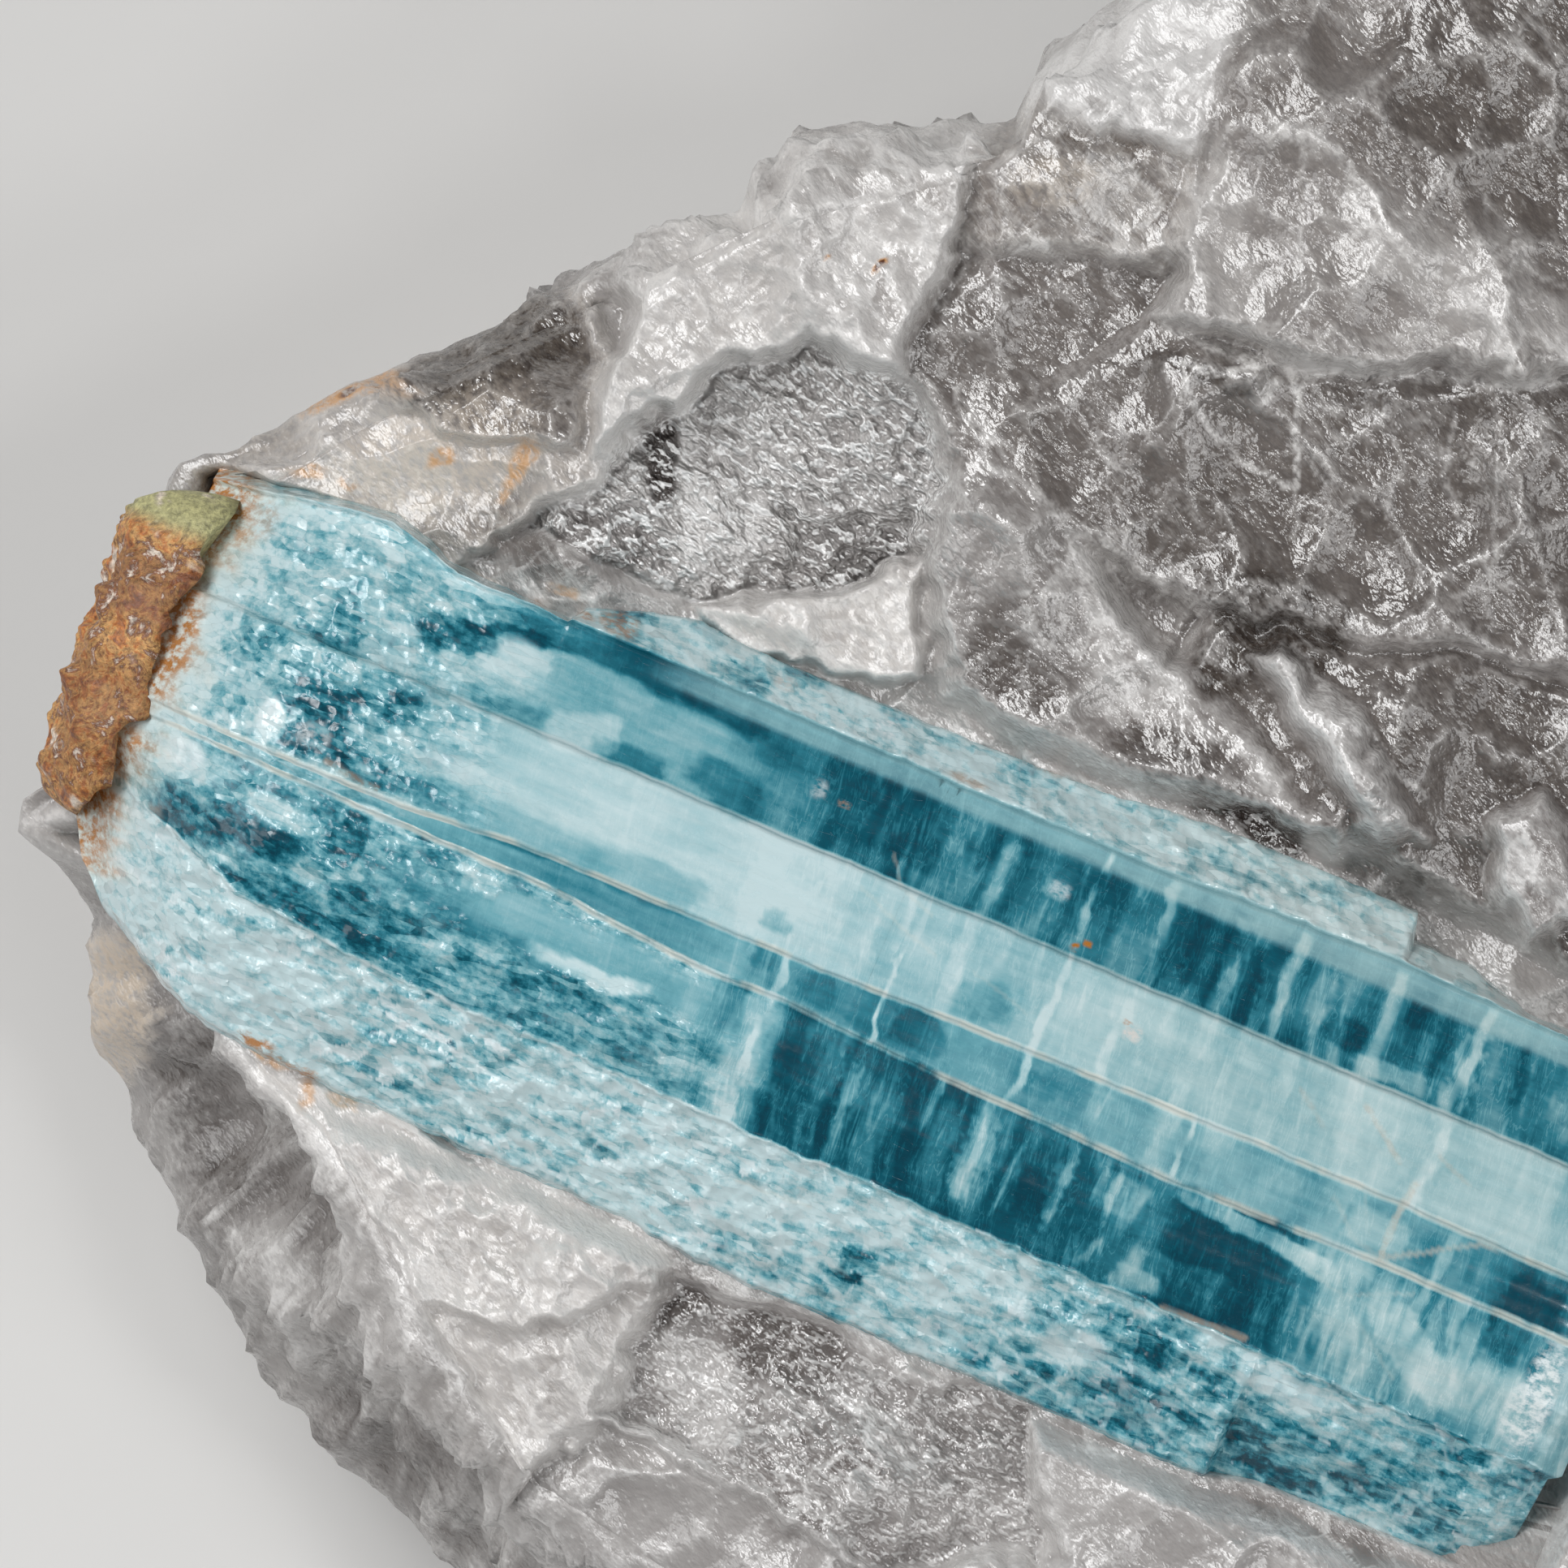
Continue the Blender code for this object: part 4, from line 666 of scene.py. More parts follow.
def lump_rings():
    """The whole lump: top, shoulder and walls as rings about the middle, r and z functions of the angle."""
    columns, top_rings, shoulder_rings, wall_rings = 560, 70, 26, 38
    angle = np.linspace(0, 2 * math.pi, columns, endpoint=False)
    corner_angle = np.unwrap([math.atan2(y, x) for x, y in OUTLINE])
    corner_reach = np.array([math.hypot(x, y) for x, y in OUTLINE])
    reach = np.interp(angle, corner_angle, corner_reach, period=2 * math.pi)
    shoulder = np.array(SHOULDER, float)
    degrees = np.degrees(angle)
    widest = np.interp(degrees, shoulder[:, 0], shoulder[:, 1], period=360)
    width = np.interp(degrees, shoulder[:, 0], shoulder[:, 2], period=360)

    top_reach = np.linspace(0, 1, top_rings + 1)[1:, None] ** 0.8 * (reach - width)
    top_x, top_y = top_reach * np.cos(angle), top_reach * np.sin(angle)
    top_z, _ = broken_top(top_x, top_y)
    top_z = sunk_for_sheaf(top_x, top_y, top_z)
    for area in (UPPER_AREA, LOWER_AREA):
        top_z = top_z - AREA_SINK * eased_step((area_edge(top_x, top_y, area) - 0.5) / 0.7)

    turn = np.linspace(SHOULDER_START, math.pi / 2, shoulder_rings + 1)[1:, None]
    outward = (np.sin(turn) - math.sin(SHOULDER_START)) / (1 - math.sin(SHOULDER_START))
    downward = (math.cos(SHOULDER_START) - np.cos(turn)) / math.cos(SHOULDER_START)
    fall = np.linspace(0, 1, wall_rings + 1)[1:, None]
    side_reach = np.vstack([reach - width + outward * width,
                            reach * (1 - (1 - BASE_SHARE) * fall**WALL_BEND)])
    heights_around = np.concatenate([top_z[-1][-9:], top_z[-1], top_z[-1][:9]])
    rim_z = np.maximum(np.convolve(heights_around, np.ones(19) / 19, "valid"), widest + 0.5)
    rim_steps = (top_z[-1] - rim_z) * np.clip(1 - 2.2 * downward, 0, 1) ** 2
    side_z = np.vstack([rim_z + rim_steps + downward * (widest - rim_z), widest * (1 - fall)])
    side_x, side_y = side_reach * np.cos(angle), side_reach * np.sin(angle)
    carved = np.zeros(side_x.shape)
    for size, depth, salt in WALL_HOLLOWS:
        carved = carved + np.minimum(hollows(side_x, side_y, side_z, size, depth, salt) - 0.4 * depth, 0)
    from_widest = eased_step(np.abs(side_z - widest) / 6.0) * 0.9 + 0.1
    from_top = eased_step((top_z[-1] - side_z) / 4.0)
    carved = carved * from_widest * from_top
    for size, depth, salt in FINE_WALL_HOLLOWS:
        fine = hollows(side_x, side_y, side_z, size, depth, salt) + 0.2 * depth
        carved = carved + fine * (0.25 + 0.75 * from_widest)
    carved = carved + 0.30 * layered_lumps(side_x, side_y, side_z, 2.2, 71, 4)
    shrink = 1 + carved / side_reach
    x = np.vstack([top_x, side_x * shrink])
    y = np.vstack([top_y, side_y * shrink])
    z = np.vstack([top_z, side_z])
    return np.stack([x, y, z], axis=-1), top_rings


def quartz_attributes(points, look, wrap, scale):
    """Per-point numbers for the quartz: milk, smoke, cream; rust, gloss, crack; edge, deep, veil. Edge is a painted
    highlight on convex edges, deep a painted shade in hollows, and crack also holds painted highlights along face
    rims; milk and smoke carry painted light on steep faces and painted shade in hollows.
    """
    x, y, z = points[..., 0], points[..., 1], points[..., 2]
    milk, smoke, cream, rust, gloss, crack = quartz_spots(x, y, look)
    edge, deep, steep = quartz_relief(points, wrap, scale)
    sparkling = eased_step((gloss - 0.62) / 0.3)
    edge = edge * (1 - 0.8 * sparkling)
    cloud = layered_lumps(x, y, z, 6.5, 73, 4)
    along, across = x * 0.616 - y * 0.788, x * 0.788 + y * 0.616
    veil = layered_lumps(along * 0.45, across, z, 3.2, 76, 4)
    veil = eased_step((veil + 0.04) / 0.42)
    bent = 0.35 * layered_lumps(x, y, z, 1.4, 141)
    large, large_edge = flakes(along * 0.6 + bent, across - bent, z, 2.4, 150)
    small, small_edge = flakes(along * 0.6 - bent, across + bent, z, 0.85, 160)
    chips = veil * (0.42 * (large - 0.5) + 0.26 * (small - 0.5))
    outline = 0.45 * eased_step(1.5 - large_edge / 0.09) * eased_step((large - 0.45) / 0.2)
    outline = outline + 0.30 * eased_step(1.5 - small_edge / 0.07) * eased_step((small - 0.6) / 0.2)
    chips = (chips + veil * outline) * (1 - 0.5 * np.clip(smoke, 0, 1))
    # Painted light and shade: steep faces high on the lump are painted paler and less smoky, and hollows a little
    # darker and smokier.
    steep = steep * eased_step((z - 30.0) / 2.0)
    milk = milk - 0.17 + 0.22 * cloud - 0.03 * deep + 0.30 * steep + chips + 0.06 * (large - 0.5)
    smoke = smoke - 0.22 * cloud + 0.04 * deep - 0.30 * steep + 0.14 * (large - 0.5)
    return {"stuff": (milk, smoke, cream), "marks": (rust * 0.7, gloss, crack), "painted_relief_and_veil": (edge, deep, veil)}


def build_quartz_lump():
    """The closed lump; its top is the broken faces, its look fades to plain quartz on the walls."""
    rings, top_rings = lump_rings()
    _, look = broken_top(rings[..., 0], rings[..., 1])
    depth = np.clip((30.0 - rings[..., 2]) / 8.0, 0, 1)
    plain = np.array(PLAIN_LOOK).reshape(4, 1, 1)
    mottle = 0.35 * layered_lumps(rings[..., 0], rings[..., 1], rings[..., 2], 5.0, 72) - 0.14
    shade = np.stack([mottle, -mottle, mottle * 0, mottle * 0])
    look = look + depth * (plain + shade - look)
    attributes = quartz_attributes(rings, look, True, 0.5)
    for name, parts in attributes.items():
        attributes[name] = tuple(with_ends(part) for part in parts)
    middle_z = rings[0, :, 2].mean()
    points, faces = closed_skin(rings, (0, 0, middle_z), (0, 0, 0))
    return make_piece("quartz_lump", points, faces, attributes)


def build_quartz_field(name, area, columns, rows):
    """A finely gridded part of the broken top, its edges sunk into the lump and closed below."""
    table = np.array(area, float)
    x = np.linspace(table[0, 0], table[-1, 0], columns)
    low, high = np.interp(x, table[:, 0], table[:, 1]), np.interp(x, table[:, 0], table[:, 2])
    share = np.linspace(0, 1, rows)[:, None]
    y = low + (high - low) * share
    x = np.broadcast_to(x, y.shape)
    z, look = broken_top(x, y)
    z = sunk_for_sheaf(x, y, z) - AREA_SINK * (1 - eased_step(area_edge(x, y, area) / 0.7))
    points = np.stack([x, y, z], axis=-1)
    attributes = quartz_attributes(points, look, False, 0.15)
    grid = np.arange(rows * columns).reshape(rows, columns)
    rim = np.concatenate([grid[0, :-1], grid[:-1, -1], grid[-1, :0:-1], grid[:0:-1, 0]])
    flat = points.reshape(-1, 3)
    skirt = flat[rim] - np.array([0, 0, 1.0])
    centre = np.array([skirt[:, 0].mean(), skirt[:, 1].mean(), skirt[:, 2].min() - 1.0])
    count = len(rim)
    ring = np.arange(count)
    after = (ring + 1) % count
    first = len(flat)
    sides = np.stack([rim[ring], first + ring, first + after], axis=-1)
    more = np.stack([rim[ring], first + after, rim[after]], axis=-1)
    bottom = np.stack([first + ring, np.full(count, first + count), first + after], axis=-1)
    faces = np.concatenate([skin_faces(rows, columns, False)[:, ::-1], sides, more, bottom])
    everything = np.concatenate([flat, skirt, [centre]])
    for key, parts in attributes.items():
        attributes[key] = tuple(np.concatenate([part.ravel(), part.ravel()[rim], [0]]) for part in parts)
    return make_piece(name, everything, faces, attributes)


def sheaf_nodes(u):
    """The sheaf's outline at every u as joint lines (w) and heights (z), from the upper side down."""
    high, low, strip, dark, pale, cream, lower = (
        line_at(line, u) + wander * layered_lumps(u, u * 0, u * 0, 1.2, salt) for line, wander, salt in (
            (UPPER_SIDE, 0.10, 81), (LOWER_SIDE, 0.13, 84), (STRIP_JOINT, 0.06, 87), (DARK_JOINT, 0.06, 121),
            (PALE_JOINT, 0.06, 124), (CREAM_JOINT, 0.05, 127), (LOWER_JOINT, 0.16, 130)))
    strip = np.minimum(strip, high - 0.35)
    cream = np.minimum(cream, pale - 0.3)
    drop = START_DROP * np.clip((SHEAF_START + START_FADE - u) / START_FADE, 0, None) ** 1.5
    drop = drop + END_DROP * np.clip((u - SHEAF_END + END_FADE) / END_FADE, 0, None) ** 2
    step = STEP_DROP * eased_step((u - STEP_AT) / STEP_LENGTH)
    half = JOINT_WIDTH / 2
    same = np.ones(u.shape)
    top = [
        (high, SIDE_TOP * same), (high - 0.15, STRIP_OUTER * same), (strip + half, STRIP_INNER * same),
        (strip - half, DARK_OUTER * same), (dark + half, DARK_INNER * same), (dark - half, PALE_OUTER * same),
        (pale + half, PALE_INNER * same), (pale - half, CREAM_OUTER * same), (cream + half, CREAM_INNER * same),
        (cream - half, TEAL_OUTER * same), ((cream + lower) / 2, TEAL_MIDDLE * same),
        (lower + half, TEAL_INNER * same), (lower - half, LOWER_OUTER * same),
        ((lower + low) / 2, LOWER_MIDDLE - step * 0.5), (low + 0.3, LOWER_INNER - step), (low, SIDE_TOP - step),
    ]
    top = [(w, np.maximum(z - drop, UNDERSIDE + 8.0)) for w, z in top]
    below = [
        (low + 0.7, UNDERSIDE + 6.6), (low + 3.4, UNDERSIDE + 2.6), (low + 7.6, UNDERSIDE + 0.4),
        (high - 7.6, UNDERSIDE), (high - 3.4, UNDERSIDE + 2.4), (high - 0.7, UNDERSIDE + 6.8),
    ]
    nodes = top + [(w, z * same) for w, z in below]
    return np.stack([w for w, z in nodes]), np.stack([z for w, z in nodes])


# How many grid steps each stretch of the sheaf's outline gets, from the upper side down and back below.
OUTLINE_STEPS = (2, 16, 2, 36, 2, 36, 2, 15, 2, 21, 21, 2, 22, 22, 4, 3, 2, 2, 2, 2, 2, 3)


def prism_tone(u, w, band):
    """Depth of colour from the tables: each prism's own run and its patches."""
    flat = np.zeros(u.shape)
    tone = np.choose(band, [line_at(line, u) for line in (
        STRIP_TONE, DARK_TONE, PALE_TONE, CREAM_TONE, TEAL_TONE, LOWER_TONE)])
    wander_u = u + 0.60 * layered_lumps(u, w, flat, 1.2, 91, 4) + 0.20 * soft_lumps(u, w, flat, 0.22, 201)
    wander_w = w + 0.40 * layered_lumps(u * 0.4, w, flat, 0.8, 202, 4)
    for middle_u, middle_w, length, width, turn, added in TONE_PATCHES:
        tone = tone + 0.85 * added * spot_share(wander_u, wander_w, middle_u, middle_w, length, width, turn, 4, 0.5)
    return tone


def sheaf_crush(u, w, band):
    """Where the prisms are crushed and grainy: the left end, the outer strip and the lower prism."""
    flat = np.zeros(u.shape)
    u = u + 2.2 * layered_lumps(u, w, flat, 2.2, 205, 4)
    w = w + 0.8 * layered_lumps(u, w, flat, 1.4, 206, 4)
    by_band = np.choose(band, [
        flat + 0.85, 0.9 * eased_step((-12.0 - u) / 10.0), 0.9 * eased_step((-14.0 - u) / 6.0),
        0.7 * eased_step((-17.0 - u) / 5.0), 0.04 + 0.76 * eased_step((0.0 - u) / 7.0),
        0.78 + 0.17 * eased_step((4.0 - u) / 6.0)])
    smooth_part = spot_share(u, w, -10.0, -2.2, 7.5, 1.1, 0)
    return np.clip(by_band - 0.8 * smooth_part, 0, 1)


def sheaf_attributes(u, w, band, joint):
    """Per-point numbers: tone, crush, streak; cream, rust, white."""
    flat = np.zeros(u.shape)
    crush = sheaf_crush(u, w, band)
    streak = np.choose(band, [flat + 0.3, flat + 1.0, flat + 0.45, flat + 0.5, flat + 1.0, flat + 0.4])
    streak = streak * eased_step((u + 7.0) / 6.0)
    tone = prism_tone(u, w, band)
    lean = u + 0.04 * w + 0.35 * soft_lumps(u * 0.2, w, flat, 2.4, 93)
    blocks = soft_lumps(lean, flat + band * 3.7, w * 0.06, 1.5, 94) + 0.6 * soft_lumps(lean, flat + band * 2.3,
                                                                                       w * 0.1, 0.55, 95)
    tone = tone + streak * (0.06 * blocks + 0.10 * np.tanh(3.0 * blocks))
    tone = tone + 0.10 * layered_lumps(u * 0.5, w, flat, 1.8, 211, 4)
    glassy = np.where(band == 1, eased_step((w - 9.25) / 0.35) * eased_step((u + 12.0) / 3.0), 0)
    tone = tone + glassy * (0.44 - tone) * 0.75
    streak = streak * (1 - 0.8 * glassy)
    fine = soft_lumps(lean, flat + band * 1.7, w * 0.30, 0.26, 96)
    tone = tone - streak * 0.11 * eased_step((fine - 0.25) / 0.6)
    fibre = soft_lumps(u * 0.10, w, flat + band, 0.20, 97) + soft_lumps(u * 0.05, w, flat + band, 0.5, 98)
    tone = tone + 0.04 * fibre * (1 - 0.5 * streak)
    dashes = np.where(band == 5, 0.42, 0.8)
    grain = layered_lumps(u * dashes, w * np.where(band == 5, 1.3, 1.0), flat, 1.5, 99, 4)
    small = layered_lumps(u, w, flat, 0.5, 103, 3)
    bent = 0.30 * layered_lumps(u, w, flat, 1.2, 171)
    large, large_edge = flakes(u * 0.45 + bent, w - bent, flat + band * 4.0, 1.15, 180)
    chip, chip_edge = flakes(u * 0.5 - bent, w + bent, flat + band * 4.0, 0.42, 190)
    contrast = crush * np.choose(band, [flat + 1.4, flat + 0.62, flat + 0.58, flat + 0.8, flat + 0.9, flat + 1.3])
    tone = tone + contrast * (0.46 * grain + 0.16 * small - 0.06 + 0.34 * (large - 0.5) + 0.30 * (chip - 0.5))
    tone = tone + 0.06 * (1 - crush) * (large - 0.5)
    ridge = 1 - np.abs(layered_lumps(lean, flat + band * 3.1, w * 0.24, 1.3, 133, 4)) * 2.2
    patchy = eased_step(0.5 + 1.3 * layered_lumps(u, w, flat, 4.0, 137))
    tone = tone - streak * 0.22 * eased_step((ridge - 0.35) / 0.65) * patchy
    wavy = 0.50 * layered_lumps(u * 0.4, w, flat, 2.4, 106)
    feather = 0.22 * layered_lumps(u, w * 0.6, flat, 0.6, 109)
    for place, lowest, highest, width, strength, slant in VEILS:
        middle = place + slant * (w - lowest) * 0.5 + wavy
        share = eased_step(1.7 - np.abs(u - middle + feather) / width)
        share = share * eased_step((w - lowest) / 0.3 + 0.5) * eased_step((highest - w) / 0.3 + 0.5)
        tone = tone - share * strength * np.clip(0.50 + 1.1 * grain, 0, 1)
    broken = 0.5 + 0.5 * layered_lumps(u, w, flat, 1.1, 107)
    cream = 0.8 * joint * eased_step(broken * 2.2 - 0.6)
    rust = flat
    near_u = u + 0.12 * small
    near_w = w + 0.12 * grain
    for cream_part, rust_part, width, path in SHEAF_CRACKS:
        share = eased_step(1.5 - path_distance(near_u, near_w, path) / width)
        cream = np.maximum(cream, 0.6 * cream_part * share)
        rust = np.maximum(rust, rust_part * share)
    frost = eased_step((0.9 * chip + 0.5 * large + 0.6 * grain - 0.95) / 0.3)
    frost = np.maximum(frost, 0.7 * eased_step(1.5 - large_edge / 0.07) * eased_step((large - 0.5) / 0.2))
    frost = frost * crush * np.choose(band, [flat + 0.8, flat + 0.6, flat + 0.7, flat + 0.6, flat + 0.5, flat + 1.0])
    tone = tone - 0.45 * frost - 0.35 * joint
    white = np.where(band == 5, 1.0, 0.75) * frost**2 * eased_step((0.75 - tone) / 0.3)
    clay = 0.20 * eased_step((u - 4.0) / 14.0) * eased_step((0.7 - tone) / 0.4) + 0.16 * glassy
    cream = np.maximum(cream, clay * (band < 5))
    for middle_u, middle_w, length, width, rust_part, white_part in SPECKS:
        share = spot_share(near_u, near_w, middle_u, middle_w, length, width, 0)
        rust = np.maximum(rust, rust_part * share)
        white = np.maximum(white, white_part * share)
    start = eased_step((-28.4 - u + 2.2 * grain) / 2.6)
    cream = np.maximum(cream, 0.75 * start)
    rust = np.maximum(rust, 0.95 * eased_step((-29.2 - u + 2.2 * grain) / 2.0))
    return {"tint": (tone, crush, streak), "marks": (cream, rust, white)}


def build_sheaf(name, first, last):
    """A length of the fused prisms: outlines across the sheaf carried along it, with grain, chips and ribs.

    Each length runs on a little inside the next, and each end has a rim just below its edge.
    """
    start = first - SHEAF_OVERLAP * (first > SHEAF_START)
    end = last + SHEAF_OVERLAP * (last < SHEAF_END)
    u = np.concatenate([[start], np.linspace(start, end, SHEAF_STATIONS), [end]])
    sunk = 0.18 * (np.clip(first - u, 0, None) ** 2 + np.clip(u - last, 0, None) ** 2)
    sunk[[0, -1]] += RIM_DROP
    lines_w, lines_z = sheaf_nodes(u)
    columns_w, columns_z, columns_band, columns_joint = [], [], [], []
    bands = [0, 0, 1, 1, 2, 2, 3, 3, 4, 4, 4, 5, 5, 5, 5, 5, 5, 5, 4, 2, 1, 0]
    count = len(lines_w)
    for part, steps in enumerate(OUTLINE_STEPS):
        after = (part + 1) % count
        for step in range(steps):
            share = step / steps
            columns_w.append(lines_w[part] + (lines_w[after] - lines_w[part]) * share)
            columns_z.append(lines_z[part] + (lines_z[after] - lines_z[part]) * share)
            columns_band.append(bands[part])
            near = 1.0 if part in (6, 8) or (part in (7, 9) and step == 0) else 0.0
            columns_joint.append(near)
    w = np.stack(columns_w, axis=1)
    z = np.stack(columns_z, axis=1)
    along = np.broadcast_to(u[:, None], w.shape)
    band = np.broadcast_to(np.array(columns_band), w.shape)
    joint = np.broadcast_to(np.array(columns_joint), w.shape)
    attributes = sheaf_attributes(along, w, band, joint)
    tone, crush, streak = attributes["tint"]
    exposed = eased_step((z - SIDE_TOP + 1.0) / 1.5)
    flat = np.zeros(w.shape)
    pits = hollows(along * 0.8, w, flat, 0.85, 0.30, 111) + hollows(along, w, flat, 0.42, 0.12, 112)
    ribs = 0.025 * soft_lumps(along * 0.04, w, flat + band * 2.0, 0.30, 113)
    swell = 0.03 * soft_lumps(along, w * 3, flat, 2.6, 31) + 0.04 * crush * layered_lumps(along, w, flat, 1.4, 114)
    z = z + exposed * (np.where(band % 5 == 0, 0.34, 0.2) * crush * (pits + 0.12) + ribs + swell)
    z = z - sunk[:, None]
    short = line_at(END_SHORTER, w) * np.clip((along - SHEAF_END + END_REACH) / END_REACH, 0, 1)
    x, y = from_sheaf(along - short, w)
    rings = np.stack([x, y, z], axis=-1)
    for key, parts in attributes.items():
        attributes[key] = tuple(with_ends(part) for part in parts)
    points, faces = closed_skin(rings, rings[0].mean(axis=0), rings[-1].mean(axis=0))
    return make_piece(name, points, faces[:, ::-1], attributes)


def build_crust():
    """The rusty crust: a squarish dome over a flat back, with four sizes of lumps on it."""
    columns, rings_count = 260, 90
    across, level = (CRUST_HIGH + CRUST_LOW) / 2, (CRUST_TOP + CRUST_BOTTOM) / 2
    half_width, half_height = (CRUST_HIGH - CRUST_LOW) / 2, (CRUST_TOP - CRUST_BOTTOM) / 2
    turn = np.linspace(0, 2 * math.pi, columns, endpoint=False)
    cosine = np.sign(np.cos(turn)) * np.abs(np.cos(turn)) ** CRUST_SQUARENESS
    sine = np.sign(np.sin(turn)) * np.abs(np.sin(turn)) ** CRUST_SQUARENESS
    outline = 1 - 0.09 * (1 + soft_lumps(cosine * half_width, sine * half_height, sine * 0, 2.6, 42))
    outline = outline + 0.02 * layered_lumps(cosine * half_width, sine * half_height, sine * 0, 0.9, 45)
    share = np.linspace(0, 1, rings_count + 1)[1:, None]
    w = across + half_width * cosine * share**0.75 * outline
    z = level + half_height * sine * share**0.75 * outline
    bulging = (1 - share**5) ** 0.6
    lumps = sum(strength * (0.6 + soft_lumps(w, z, w * 0, size, salt)) for size, strength, salt in CRUST_LUMPS)
    back = CRUST_BACK + CRUST_OVERLAP * (1 + 0.9 * layered_lumps(w, z * 0, w * 0, 1.8, 46))
    u = back + (CRUST_FRONT - back) * bulging + 0.8 * lumps * bulging
    x, y = from_sheaf(u, w)
    rings = np.stack([x, y, z], axis=-1)
    front_x, front_y = from_sheaf(u[0].mean(), across)
    back_x, back_y = from_sheaf(CRUST_BACK, across)
    brown = spot_share(w, z, 4.6, 34.0, 1.6, 3.0, 0) + 0.7 * spot_share(w, z, -1.5, 34.0, 3.2, 3.0, 0)
    olive = spot_share(w, z, 8.8, 33.0, 1.6, 4.0, 0)
    # Pale spots for the clear quartz beads: their pale colour is a painted highlight.
    painted_bead_glint = eased_step((layered_lumps(u, w, z, 0.9, 47) - 0.32) / 0.2)
    attributes = {"marks": tuple(with_ends(np.broadcast_to(part, w.shape)) for part in (brown, olive, painted_bead_glint))}
    points, faces = closed_skin(rings, (front_x, front_y, level), (back_x, back_y, level))
    return make_piece("iron_crust", points, faces[:, ::-1], attributes)


# Settings that many nodes share.
SMOOTH, COLOUR = {"interpolation_type": "SMOOTHSTEP"}, {"data_type": "RGBA"}
TIMES, TIMES_PLUS = {"operation": "MULTIPLY"}, {"operation": "MULTIPLY_ADD"}
TIMES_CLAMPED = {"operation": "MULTIPLY", "use_clamp": True}


def add_node(tree, kind, settings=None, values=None, links=None, stops=None):
    """Adds a node with its settings, socket values, the sockets that feed it and its colour stops."""
    node = tree.nodes.new("ShaderNode" + kind)
    for key, value in (settings or {}).items():
        setattr(node, key, value)
    for key, value in (values or {}).items():
        node.inputs[key].default_value = value
    for key, source in (links or {}).items():
        tree.links.new(source, node.inputs[key])
    if stops:
        elements = node.color_ramp.elements
        while len(elements) < len(stops):
            elements.new(0.5)
        for element, (place, colour) in zip(elements, stops):
            element.position = place
            element.color = (*colour, 1.0)
    return node


def new_material(name):
    """A new node material; gives the material, its tree and its shader."""
    material = bpy.data.materials.new(name)
    material.use_nodes = True
    tree = material.node_tree
    return material, tree, tree.nodes["Principled BSDF"]


def split_attribute(tree, name):
    """The three parts of a colour attribute of the mesh."""
    whole = add_node(tree, "Attribute", {"attribute_name": name}).outputs["Color"]
    return add_node(tree, "SeparateColor", None, None, {"Color": whole}).outputs


def dress(piece, material, node):
    """Gives a piece its material and its body, and hides the imported solid it stands for, if one is named."""
    piece.data.materials.append(material)
    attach(piece, "root")
    if node:
        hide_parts(node)


def tilted_facets(tree, place, turn, sizes):
    """Flat facets, each tilted its own way, in cells of the given sizes in metres: height and a share of its own."""
    at = add_node(tree, "Mapping", {"vector_type": "TEXTURE"}, {"Rotation": (0, 0, turn), "Scale": sizes},
                  {"Vector": place}).outputs[0]
    cells = add_node(tree, "TexVoronoi", {"feature": "F1"}, {"Scale": 1.0, "Randomness": 1.0}, {"Vector": at}).outputs
    away = add_node(tree, "VectorMath", {"operation": "SUBTRACT"}, None, {0: at, 1: cells["Position"]}).outputs[0]
    tilt = add_node(tree, "VectorMath", {"operation": "SUBTRACT"}, {1: (0.5, 0.5, 0.5)},
                    {0: cells["Color"]}).outputs[0]
    height = add_node(tree, "VectorMath", {"operation": "DOT_PRODUCT"}, None, {0: away, 1: tilt}).outputs["Value"]
    own = add_node(tree, "SeparateColor", None, None, {"Color": cells["Color"]}).outputs["Red"]
    return height, own


